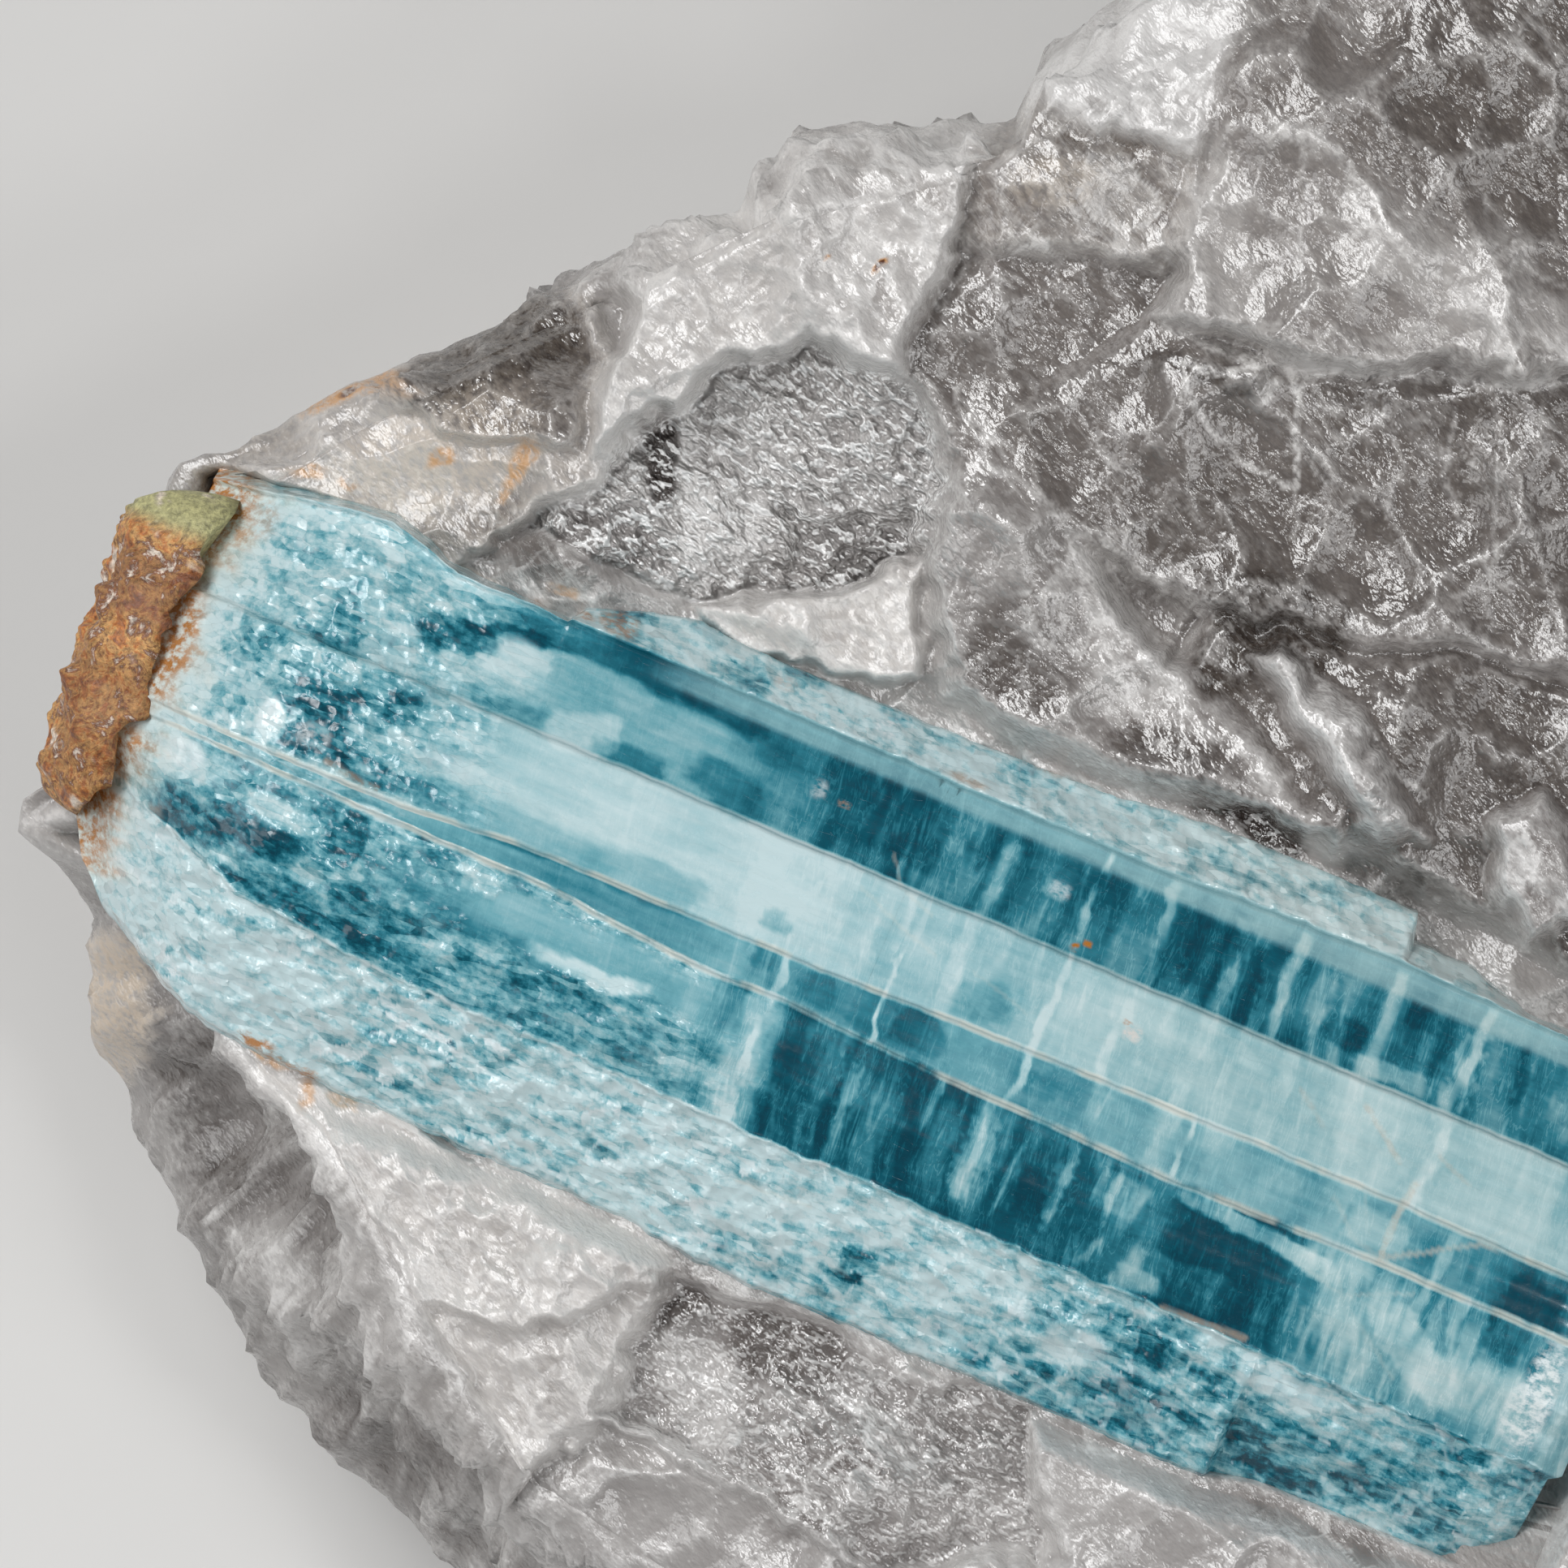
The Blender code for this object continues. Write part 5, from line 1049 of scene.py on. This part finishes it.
def quartz_material(colours):
    """Vein quartz: clear and smooth where it broke clean, milky where it is full of fine cracks.

    Gives the eye white wisps, bright cracks and painted highlights on edges and rims over a smoky brown-grey depth,
    and in the hollows real glints with painted glints among them.
    """
    material, tree, shader = new_material("vein_quartz")
    place = add_node(tree, "TexCoord").outputs["Object"]
    stuff = split_attribute(tree, "stuff")
    marks = split_attribute(tree, "marks")
    painted_relief_and_veil = split_attribute(tree, "painted_relief_and_veil")

    # Wisps 2.6 mm long and 0.5 mm wide that run one way, and grain 0.4 mm across.
    along = add_node(tree, "Mapping", {"vector_type": "TEXTURE"},
                     {"Rotation": (0, 0, VEIL_TURN), "Scale": (0.0026, 0.0005, 0.0012)}, {"Vector": place}).outputs[0]
    wisp = add_node(tree, "TexNoise", None, {"Scale": 1.0, "Detail": 3, "Roughness": 0.66, "Distortion": 0.9},
                    {"Vector": along}).outputs["Fac"]
    wisps = add_node(tree, "MapRange", SMOOTH, {"From Min": 0.50, "From Max": 0.72}, {"Value": wisp}).outputs[0]
    thin = add_node(tree, "Math", {"operation": "COMPARE"}, {1: 0.52, 2: 0.010}, {0: wisp}).outputs[0]
    grain_at = add_node(tree, "Mapping", {"vector_type": "TEXTURE"},
                        {"Rotation": (0, 0, VEIL_TURN), "Scale": (0.0005, 0.0003, 0.0004)},
                        {"Vector": place}).outputs[0]
    grain = add_node(tree, "TexNoise", None, {"Scale": 1.0, "Detail": 2, "Roughness": 0.6},
                     {"Vector": grain_at}).outputs["Fac"]

    # Crinkles 1 mm long and finer ones on them: in the clean hollows one flank of each is painted white, a painted
    # glint.
    crinkle_at = add_node(tree, "Mapping", {"vector_type": "TEXTURE"},
                          {"Rotation": (0, 0, CRINKLE_TURN), "Scale": (0.0010, 0.0006, 0.0008)},
                          {"Vector": place}).outputs[0]
    crinkle = add_node(tree, "TexNoise", None, {"Scale": 1.0, "Detail": 2, "Roughness": 0.62},
                       {"Vector": crinkle_at}).outputs["Fac"]
    clean = add_node(tree, "Math", {"operation": "POWER"}, {1: 6.0}, {0: marks["Green"]}).outputs[0]
    beside = add_node(tree, "VectorMath", {"operation": "ADD"}, {1: (0.14, -0.18, 0.0)}, {0: crinkle_at}).outputs[0]
    beside = add_node(tree, "TexNoise", None, {"Scale": 1.0, "Detail": 2, "Roughness": 0.62},
                      {"Vector": beside}).outputs["Fac"]
    flank = add_node(tree, "Math", {"operation": "SUBTRACT"}, None, {0: crinkle, 1: beside}).outputs[0]
    painted_glint = add_node(tree, "MapRange", SMOOTH,
                       {"From Min": 0.015, "From Max": 0.085, "To Min": -0.06, "To Max": 0.95},
                       {"Value": flank}).outputs[0]
    painted_glint = add_node(tree, "Math", TIMES, None, {0: painted_glint, 1: clean}).outputs[0]

    # Milk: the share worked out at each point, wisps where veils are, bright cracks, and painted highlights on convex
    # edges and rims.
    veils = add_node(tree, "Math", TIMES, None, {0: wisps, 1: painted_relief_and_veil["Blue"]}).outputs[0]
    total = add_node(tree, "Math", TIMES_PLUS, {1: 0.34}, {0: veils, 2: stuff["Red"]}).outputs[0]
    total = add_node(tree, "Math", TIMES_PLUS, {1: 0.06}, {0: wisps, 2: total}).outputs[0]
    thin = add_node(tree, "Math", TIMES, None, {0: thin, 1: painted_relief_and_veil["Blue"]}).outputs[0]
    total = add_node(tree, "Math", TIMES_PLUS, {1: 0.26}, {0: thin, 2: total}).outputs[0]
    total = add_node(tree, "Math", {"operation": "ADD"}, None, {0: total, 1: painted_glint}).outputs[0]
    broken = add_node(tree, "MapRange", None, {"From Min": 0.36, "From Max": 0.56, "To Min": 0.25, "To Max": 1.0},
                      {"Value": grain}).outputs[0]
    # Painted highlight: convex edges and face rims are painted paler, together with the bright cracks.
    edges = add_node(tree, "Math", TIMES_PLUS, {1: 0.32},
                     {0: painted_relief_and_veil["Red"], 2: add_node(tree, "Math", TIMES, {1: 0.9},
                                                    {0: marks["Blue"]}).outputs[0]}).outputs[0]
    total = add_node(tree, "Math", TIMES_PLUS, None, {0: edges, 1: broken, 2: total}).outputs[0]
    # Painted sparkles: the tops of the fine grain are painted as tiny white glints, the rest of the grain a little
    # darker.
    painted_sparkles = add_node(tree, "MapRange", SMOOTH, {"From Min": 0.62, "From Max": 0.70, "To Min": -0.13, "To Max": 0.18},
                      {"Value": grain}).outputs[0]
    fine = add_node(tree, "Math", TIMES_PLUS, {1: 0.26}, {0: grain, 2: painted_sparkles}).outputs[0]
    fine_share = add_node(tree, "Math", TIMES_PLUS, {1: 0.8, 2: 0.45}, {0: stuff["Red"]}).outputs[0]
    total = add_node(tree, "Math", {"operation": "MULTIPLY_ADD", "use_clamp": True}, None,
                     {0: fine, 1: fine_share, 2: total}).outputs[0]
    depth = add_node(tree, "Mix", COLOUR, {6: (*colours.grey_quartz, 1), 7: (*colours.smoky_quartz, 1)},
                     {0: stuff["Green"]}).outputs[2]
    body = add_node(tree, "Mix", COLOUR, {7: (*colours.milky_quartz, 1)}, {0: total, 6: depth}).outputs[2]
    # The painted glints are laid over the body in white.
    body = add_node(tree, "Mix", COLOUR, {7: (*colours.painted_glint_white, 1)}, {0: painted_glint, 6: body}).outputs[2]

    # Cream clay film and rust in the cracks near the sheaf.
    cream = add_node(tree, "Math", TIMES_CLAMPED, None, {0: stuff["Blue"], 1: broken}).outputs[0]
    body = add_node(tree, "Mix", COLOUR, {7: (*colours.cream_film, 1)}, {0: cream, 6: body}).outputs[2]
    rust = add_node(tree, "Math", TIMES_CLAMPED, {1: 1.3},
                    {0: add_node(tree, "Math", TIMES, None, {0: marks["Red"], 1: broken}).outputs[0]}).outputs[0]
    thick = add_node(tree, "MapRange", None, {"From Min": 0.72, "From Max": 0.90}, {"Value": marks["Red"]}).outputs[0]
    stain = add_node(tree, "Mix", COLOUR, {6: (*colours.rust_stain, 1), 7: (*colours.rust_grain, 1)},
                     {0: thick}).outputs[2]
    body = add_node(tree, "Mix", COLOUR, None, {0: rust, 6: body, 7: stain}).outputs[2]
    tree.links.new(body, shader.inputs["Base Color"])

    # Clean breaks are smooth as glass, crushed milk is duller.
    rough = add_node(tree, "MapRange", None, {"To Min": 0.30, "To Max": 0.08}, {"Value": marks["Green"]}).outputs[0]
    rough = add_node(tree, "Math", TIMES_PLUS, {1: 0.10}, {0: total, 2: rough}).outputs[0]
    tree.links.new(rough, shader.inputs["Roughness"])

    # The crinkles stand out in the clean hollows, fine grain elsewhere.
    share = add_node(tree, "Math", TIMES_PLUS, {1: 3.3, 2: 0.24}, {0: clean}).outputs[0]
    height = add_node(tree, "Math", TIMES, None, {0: crinkle, 1: share}).outputs[0]
    height = add_node(tree, "Math", TIMES_PLUS, {1: 0.20}, {0: grain, 2: height}).outputs[0]
    bump = add_node(tree, "Bump", None, {"Strength": 0.8, "Distance": 0.0005}, {"Height": height})
    tree.links.new(bump.outputs[0], shader.inputs["Normal"])
    shader.inputs["IOR"].default_value = QUARTZ_IOR
    shader.inputs["Specular IOR Level"].default_value = 1.0
    return material


def tourmaline_material(colours):
    """Indicolite tourmaline: glassy prisms full of cross cracks, from deep teal to pale aqua.

    Gives the eye clear dark blocks between pale veils, fine threads along the prisms and crushed white grain.
    """
    material, tree, shader = new_material("indicolite_tourmaline")
    place = add_node(tree, "TexCoord").outputs["Object"]
    tint = split_attribute(tree, "tint")
    marks = split_attribute(tree, "marks")

    # Threads 3 mm long and 0.16 mm wide along the prisms, feathery cracks across them, grain 0.6 mm long.
    threads_at = add_node(tree, "Mapping", {"vector_type": "TEXTURE"},
                          {"Rotation": (0, 0, SHEAF_TURN), "Scale": (0.0030, 0.00016, 0.001)},
                          {"Vector": place}).outputs[0]
    threads = add_node(tree, "TexNoise", None, {"Scale": 1.0, "Detail": 2, "Roughness": 0.6},
                       {"Vector": threads_at}).outputs["Fac"]
    hairs_at = add_node(tree, "Mapping", {"vector_type": "TEXTURE"},
                        {"Rotation": (0, 0, SHEAF_TURN + 0.10), "Scale": (0.00042, 0.0034, 0.002)},
                        {"Vector": place}).outputs[0]
    hairs = add_node(tree, "TexNoise", None, {"Scale": 1.0, "Detail": 3, "Roughness": 0.62, "Distortion": 0.6},
                     {"Vector": hairs_at}).outputs["Fac"]
    grain_at = add_node(tree, "Mapping", {"vector_type": "TEXTURE"},
                        {"Rotation": (0, 0, SHEAF_TURN), "Scale": (0.0006, 0.00038, 0.0004)},
                        {"Vector": place}).outputs[0]
    grain = add_node(tree, "TexNoise", None, {"Scale": 1.0, "Detail": 3, "Roughness": 0.68},
                     {"Vector": grain_at}).outputs["Fac"]
    hair_line = add_node(tree, "MapRange", SMOOTH, {"From Min": 0.55, "From Max": 0.74}, {"Value": hairs}).outputs[0]
    thin = add_node(tree, "Math", {"operation": "COMPARE"}, {1: 0.5, 2: 0.014}, {0: hairs}).outputs[0]
    hair_line = add_node(tree, "Math", TIMES_PLUS, {1: 0.5}, {0: thin, 2: hair_line}).outputs[0]
    hair_share = add_node(tree, "Math", TIMES_PLUS, {1: 0.75, 2: 0.3}, {0: tint["Blue"]}).outputs[0]
    hair_line = add_node(tree, "Math", TIMES, None, {0: hair_line, 1: hair_share}).outputs[0]

    # Facets 1 mm long where the prisms are crushed, each a little deeper or paler than the next.
    facets, own = tilted_facets(tree, place, SHEAF_TURN, (0.0010, 0.00030, 0.0005))
    own = add_node(tree, "Math", TIMES_PLUS, {1: 0.34, 2: -0.17}, {0: own}).outputs[0]
    own = add_node(tree, "Math", TIMES, None, {0: own, 1: tint["Green"]}).outputs[0]
    tone = add_node(tree, "Math", TIMES_PLUS, {1: 0.07}, {0: threads, 2: own}).outputs[0]
    tone = add_node(tree, "Math", {"operation": "SUBTRACT"}, {1: 0.035}, {0: tone}).outputs[0]
    tone = add_node(tree, "Math", {"operation": "ADD"}, None, {0: tone, 1: tint["Red"]}).outputs[0]
    tone = add_node(tree, "Math", TIMES_PLUS, {1: -0.20}, {0: hair_line, 2: tone}).outputs[0]
    mottle = add_node(tree, "Math", {"operation": "SUBTRACT"}, {1: 0.5}, {0: grain}).outputs[0]
    share = add_node(tree, "Math", TIMES_PLUS, {1: 1.0, 2: 0.22}, {0: tint["Green"]}).outputs[0]
    tone = add_node(tree, "Math", {"operation": "MULTIPLY_ADD", "use_clamp": True}, None,
                    {0: mottle, 1: share, 2: tone}).outputs[0]
    body = add_node(tree, "ValToRGB", None, None, {"Fac": tone}, [
        (0.0, colours.ice_aqua), (0.22, colours.pale_aqua), (0.45, colours.aqua), (0.66, colours.teal),
        (0.84, colours.deep_teal), (1.0, colours.darkest_teal)]).outputs["Color"]
    broken = add_node(tree, "MapRange", None, {"From Min": 0.38, "From Max": 0.58}, {"Value": grain}).outputs[0]
    white = add_node(tree, "Math", TIMES_CLAMPED, None, {0: marks["Blue"], 1: broken}).outputs[0]
    body = add_node(tree, "Mix", COLOUR, {7: (*colours.crushed_white, 1)}, {0: white, 6: body}).outputs[2]
    cream = add_node(tree, "Math", TIMES_CLAMPED, {1: 0.75}, {0: marks["Red"]}).outputs[0]
    body = add_node(tree, "Mix", COLOUR, {7: (*colours.cream_seam, 1)}, {0: cream, 6: body}).outputs[2]
    rust = add_node(tree, "Math", TIMES_CLAMPED, None, {0: marks["Green"], 1: broken}).outputs[0]
    body = add_node(tree, "Mix", COLOUR, {7: (*colours.rust_seam, 1)}, {0: rust, 6: body}).outputs[2]
    tree.links.new(body, shader.inputs["Base Color"])

    rough = add_node(tree, "MapRange", None, {"From Min": 0.3, "From Max": 0.7, "To Min": 0.12, "To Max": 0.30},
                     {"Value": grain}).outputs[0]
    tree.links.new(rough, shader.inputs["Roughness"])

    share = add_node(tree, "Math", TIMES_PLUS, {1: 0.42, 2: 0.02}, {0: tint["Green"]}).outputs[0]
    height = add_node(tree, "Math", TIMES, None, {0: facets, 1: share}).outputs[0]
    bump = add_node(tree, "Bump", None, {"Strength": 0.8, "Distance": 0.0005}, {"Height": height})
    tree.links.new(bump.outputs[0], shader.inputs["Normal"])
    shader.inputs["IOR"].default_value = TOURMALINE_IOR
    return material


def crust_material(colours):
    """Iron oxide crust: dull earthy rust with brown and olive parts, and a few clear quartz beads shown as pale
    spots, a painted highlight.
    """
    material, tree, shader = new_material("iron_oxide_crust")
    place = add_node(tree, "TexCoord").outputs["Object"]
    size = add_node(tree, "Mapping", values={"Scale": (1000, 1000, 1000)}, links={"Vector": place}).outputs["Vector"]
    marks = split_attribute(tree, "marks")
    lumps = add_node(tree, "TexNoise", values={"Scale": 0.9, "Detail": 5, "Roughness": 0.72, "Distortion": 0.5},
                     links={"Vector": size}).outputs["Fac"]
    grain = add_node(tree, "TexNoise", values={"Scale": 4.0, "Detail": 4, "Roughness": 0.7},
                     links={"Vector": size}).outputs["Fac"]
    body = add_node(tree, "ValToRGB", links={"Fac": lumps}, stops=[
        (0.34, colours.rust_brown), (0.42, colours.rust_orange), (0.50, colours.ochre), (0.57, colours.rust_brown),
        (0.66, colours.pale_clay)]).outputs["Color"]
    brown = add_node(tree, "Math", TIMES_CLAMPED,
                     links={0: marks["Red"],
                            1: add_node(tree, "MapRange", None, {"From Min": 0.62, "From Max": 0.4},
                                        {"Value": lumps}).outputs[0]}).outputs[0]
    body = add_node(tree, "Mix", COLOUR, {7: (*colours.rust_brown, 1)}, {0: brown, 6: body}).outputs[2]
    body = add_node(tree, "Mix", COLOUR, {7: (*colours.olive_crust, 1)}, {0: marks["Green"], 6: body}).outputs[2]
    # The beads are painted in pale clay: a painted highlight.
    body = add_node(tree, "Mix", COLOUR, {7: (*colours.pale_clay, 1)}, {0: marks["Blue"], 6: body}).outputs[2]
    shade = add_node(tree, "MapRange", None, {"From Min": 0.3, "From Max": 0.7, "To Min": 0.45, "To Max": 1.45},
                     {"Value": grain}).outputs[0]
    body = add_node(tree, "VectorMath", {"operation": "SCALE"}, links={0: body, "Scale": shade}).outputs[0]
    tree.links.new(body, shader.inputs["Base Color"])
    rough = add_node(tree, "MapRange", None, {"From Min": 0.35, "From Max": 0.65, "To Min": 0.35, "To Max": 0.75},
                     {"Value": lumps}).outputs[0]
    tree.links.new(rough, shader.inputs["Roughness"])
    bump = add_node(tree, "Bump", values={"Strength": 0.6, "Distance": 0.0003}, links={"Height": lumps})
    bump = add_node(tree, "Bump", values={"Strength": 0.6, "Distance": 0.00012},
                    links={"Height": grain, "Normal": bump.outputs[0]})
    tree.links.new(bump.outputs[0], shader.inputs["Normal"])
    shader.inputs["IOR"].default_value = CRUST_IOR
    return material


def floor_material(colour):
    """Matt painted board: pale, with a faint cloudiness."""
    material, tree, shader = new_material("matt_painted_board")
    place = add_node(tree, "TexCoord").outputs["Object"]
    cloud = add_node(tree, "TexNoise", values={"Scale": 18, "Detail": 3}, links={"Vector": place}).outputs["Fac"]
    darker = tuple(part * 0.94 for part in colour)
    body = add_node(tree, "Mix", COLOUR, {6: (*colour, 1), 7: (*darker, 1)}, {0: cloud}).outputs[2]
    tree.links.new(body, shader.inputs["Base Color"])
    shader.inputs["Roughness"].default_value = 0.8
    return material


def colour_setting(name, hex_colour, description):
    """A colour that a user may change."""
    return FloatVectorProperty(name=name, description=description, subtype="COLOR", size=3, min=0, max=1,
                               default=linear(hex_colour))


class QuartzSettings(bpy.types.PropertyGroup):
    """Colours of the quartz."""

    milky_quartz: colour_setting("Milky quartz", "#d3d1cf", "Quartz full of fine cracks")
    # Colour of the painted glints on the crinkle flanks in the clean hollows.
    painted_glint_white: colour_setting("Crack white", "#f4f4f3", "Bright crack faces in the clean hollows")
    grey_quartz: colour_setting("Grey quartz", "#857f7c", "Half-clear quartz")
    smoky_quartz: colour_setting("Smoky quartz", "#352d29", "Deep clear smoky quartz")
    cream_film: colour_setting("Cream film", "#cdbfae", "Clay film on the quartz")
    rust_stain: colour_setting("Rust stain", "#c08a4c", "Thin rust in cracks")
    rust_grain: colour_setting("Rust grain", "#5e3216", "Thick grains of rust")


class TourmalineSettings(bpy.types.PropertyGroup):
    """Colours of the tourmaline, from pale to deep."""

    ice_aqua: colour_setting("Ice aqua", "#c3d9dc", "Palest prism faces")
    pale_aqua: colour_setting("Pale aqua", "#9fc4ca", "Pale prism faces")
    aqua: colour_setting("Aqua", "#6ba6b1", "Middle prism faces")
    teal: colour_setting("Teal", "#2f7c8d", "Rich prism faces")
    deep_teal: colour_setting("Deep teal", "#0b5566", "Deep clear parts")
    darkest_teal: colour_setting("Darkest teal", "#063f4f", "Deepest clear parts")
    crushed_white: colour_setting("Crushed white", "#dde8ea", "Crushed grain")
    cream_seam: colour_setting("Cream seam", "#dfddd0", "Clay in the joints")
    rust_seam: colour_setting("Rust seam", "#b07330", "Rust in the joints")


class CrustSettings(bpy.types.PropertyGroup):
    """Colours of the rusty crust."""

    rust_orange: colour_setting("Rust orange", "#b9702f", "Main rust")
    rust_brown: colour_setting("Rust brown", "#74401f", "Old dark rust")
    ochre: colour_setting("Ochre", "#c79a5e", "Yellow rust")
    olive_crust: colour_setting("Olive crust", "#aca878", "Yellow-green part beside the sheaf")
    # Also paints the clear beads pale, as their painted highlight.
    pale_clay: colour_setting("Pale clay", "#d8cabb", "Clay and clear beads")


class StageSettings(bpy.types.PropertyGroup):
    """Floor, lights and camera."""

    floor_colour: colour_setting("Floor", "#dddcda", "Painted board under the lump")
    key_power: FloatProperty(name="Key light", description="Power of the large light", default=1.0, min=0,
                             unit="POWER")
    fill_power: FloatProperty(name="Fill light", description="Power of each side light", default=0.41, min=0,
                              unit="POWER")
    glint_power: FloatProperty(name="Glint lights", description="Power of each small light", default=0.16, min=0,
                               unit="POWER")
    lens: FloatProperty(name="Lens", description="Focal length in millimetres", default=400.0, min=20)
    view_width: FloatProperty(name="View width", description="Width of the view at the sheaf", default=0.0657,
                              min=0.01, unit="LENGTH")


class MINERAL_OT_quartz_lump(bpy.types.Operator):
    """Builds the whole broken lump of quartz"""

    bl_idname = "mineral.quartz_lump"
    bl_label = "Quartz lump"

    def execute(self, context):
        dress(build_quartz_lump(), quartz_material(context.scene.quartz), "quartz_matrix")
        return {"FINISHED"}


class MINERAL_OT_quartz_fields(bpy.types.Operator):
    """Builds the finely broken quartz above and below the sheaf"""

    bl_idname = "mineral.quartz_fields"
    bl_label = "Finely broken quartz"

    def execute(self, context):
        material = bpy.data.materials["vein_quartz"]
        dress(build_quartz_field("quartz_upper_field", UPPER_AREA, *UPPER_GRID), material, None)
        dress(build_quartz_field("quartz_lower_field", LOWER_AREA, *LOWER_GRID), material, None)
        return {"FINISHED"}


class MINERAL_OT_sheaf(bpy.types.Operator):
    """Builds the sheaf of tourmaline prisms"""

    bl_idname = "mineral.sheaf"
    bl_label = "Tourmaline sheaf"

    def execute(self, context):
        material = tourmaline_material(context.scene.tourmaline)
        dress(build_sheaf("tourmaline_left", SHEAF_START, SHEAF_HALF_WAY), material,
              "tourmaline_crystal")
        dress(build_sheaf("tourmaline_right", SHEAF_HALF_WAY, SHEAF_END), material, None)
        return {"FINISHED"}


class MINERAL_OT_crust(bpy.types.Operator):
    """Builds the rusty crust on the left end"""

    bl_idname = "mineral.crust"
    bl_label = "Rusty crust"

    def execute(self, context):
        dress(build_crust(), crust_material(context.scene.crust), "iron_oxide_crust")
        return {"FINISHED"}


class MINERAL_OT_stage(bpy.types.Operator):
    """Adds the floor, the lights and the camera"""

    bl_idname = "mineral.stage"
    bl_label = "Stage"

    def execute(self, context):
        settings = context.scene.stage
        half = 1.5
        floor = bpy.data.meshes.new("floor")
        floor.from_pydata([(-half, -half, 0), (half, -half, 0), (half, half, 0), (-half, half, 0)], [],
                          [(0, 1, 2, 3)])
        board = bpy.data.objects.new("floor", floor)
        context.scene.collection.objects.link(board)
        floor.materials.append(floor_material(settings.floor_colour))

        # Light name, direction in degrees about the upright, degrees off it, distance and size in metres, power.
        # None stands where the flat prism faces would mirror it into a view from above.
        lights = [
            ("key_light", 128, 44, 0.50, 0.22, settings.key_power),
            ("fill_right", -18, 58, 0.50, 0.30, settings.fill_power),
            ("fill_left", 192, 60, 0.50, 0.30, settings.fill_power),
            ("fill_front", 305, 56, 0.50, 0.26, settings.fill_power * 1.4),
            ("glint_back", 142, 28, 0.45, 0.11, settings.glint_power * 1.8),
            ("glint_side", -24, 27, 0.45, 0.07, settings.glint_power),
            ("glint_left", 168, 38, 0.45, 0.10, settings.glint_power * 1.5),
            ("glint_right", 352, 15, 0.45, 0.07, settings.glint_power),
            ("glint_top", 176, 17, 0.45, 0.07, settings.glint_power),
        ]
        for name, direction, off_upright, distance, size, power in lights:
            lamp = bpy.data.lights.new(name, "AREA")
            lamp.shape = "DISK"
            lamp.size = size
            lamp.energy = power
            light = bpy.data.objects.new(name, lamp)
            heading, lean = math.radians(direction), math.radians(off_upright)
            flat = distance * math.sin(lean)
            light.location = (flat * math.cos(heading), flat * math.sin(heading), 0.03 + distance * math.cos(lean))
            light.rotation_euler = (lean, 0, heading + math.pi / 2)
            context.scene.collection.objects.link(light)

        world = bpy.data.worlds.new("studio")
        world.use_nodes = True
        world.node_tree.nodes["Background"].inputs["Color"].default_value = (0.9, 0.93, 1.0, 1)
        world.node_tree.nodes["Background"].inputs["Strength"].default_value = 0.06
        context.scene.world = world

        # The camera looks straight down; the photograph's middle lies left of and behind the lump's middle.
        view = bpy.data.cameras.new("camera")
        view.lens = settings.lens
        view.sensor_width = 36.0
        view.clip_start = 0.01
        distance = settings.view_width / view.sensor_width * settings.lens
        camera = bpy.data.objects.new("camera", view)
        sheaf_height = 0.036
        camera.location = ((PHOTO_MIDDLE[0] + CENTRING[0]) * MM, (PHOTO_MIDDLE[1] + CENTRING[1]) * MM,
                           sheaf_height + distance)
        camera.rotation_euler = (0, 0, 0)
        context.scene.collection.objects.link(camera)
        context.scene.camera = camera
        context.scene.view_settings.view_transform = "Standard"
        return {"FINISHED"}


class MINERAL_PT_panel(bpy.types.Panel):
    """Lists the pieces"""

    bl_label = "Tourmaline in quartz"
    bl_idname = "MINERAL_PT_panel"
    bl_space_type = "VIEW_3D"
    bl_region_type = "UI"
    bl_category = "Mineral"

    def draw(self, context):
        for settings in (context.scene.quartz, context.scene.tourmaline, context.scene.crust, context.scene.stage):
            for name in settings.__annotations__:
                self.layout.prop(settings, name)
        for operator in OPERATORS:
            self.layout.operator(operator.bl_idname)


SETTINGS = {"quartz": QuartzSettings, "tourmaline": TourmalineSettings, "crust": CrustSettings,
            "stage": StageSettings}
OPERATORS = [MINERAL_OT_quartz_lump, MINERAL_OT_quartz_fields, MINERAL_OT_sheaf, MINERAL_OT_crust, MINERAL_OT_stage]


def register():
    """Registers the settings, the operators and the panel."""
    for name, group in SETTINGS.items():
        bpy.utils.register_class(group)
        setattr(bpy.types.Scene, name, PointerProperty(type=group))
    for operator in OPERATORS:
        bpy.utils.register_class(operator)
    bpy.utils.register_class(MINERAL_PT_panel)


def unregister():
    """Takes them off again."""
    bpy.utils.unregister_class(MINERAL_PT_panel)
    for operator in OPERATORS:
        bpy.utils.unregister_class(operator)
    for name, group in SETTINGS.items():
        delattr(bpy.types.Scene, name)
        bpy.utils.unregister_class(group)


def main():
    """Builds everything."""
    register()
    bpy.ops.mineral.quartz_lump()
    bpy.ops.mineral.quartz_fields()
    bpy.ops.mineral.sheaf()
    bpy.ops.mineral.crust()
    bpy.ops.mineral.stage()


if __name__ == "__main__":
    main()
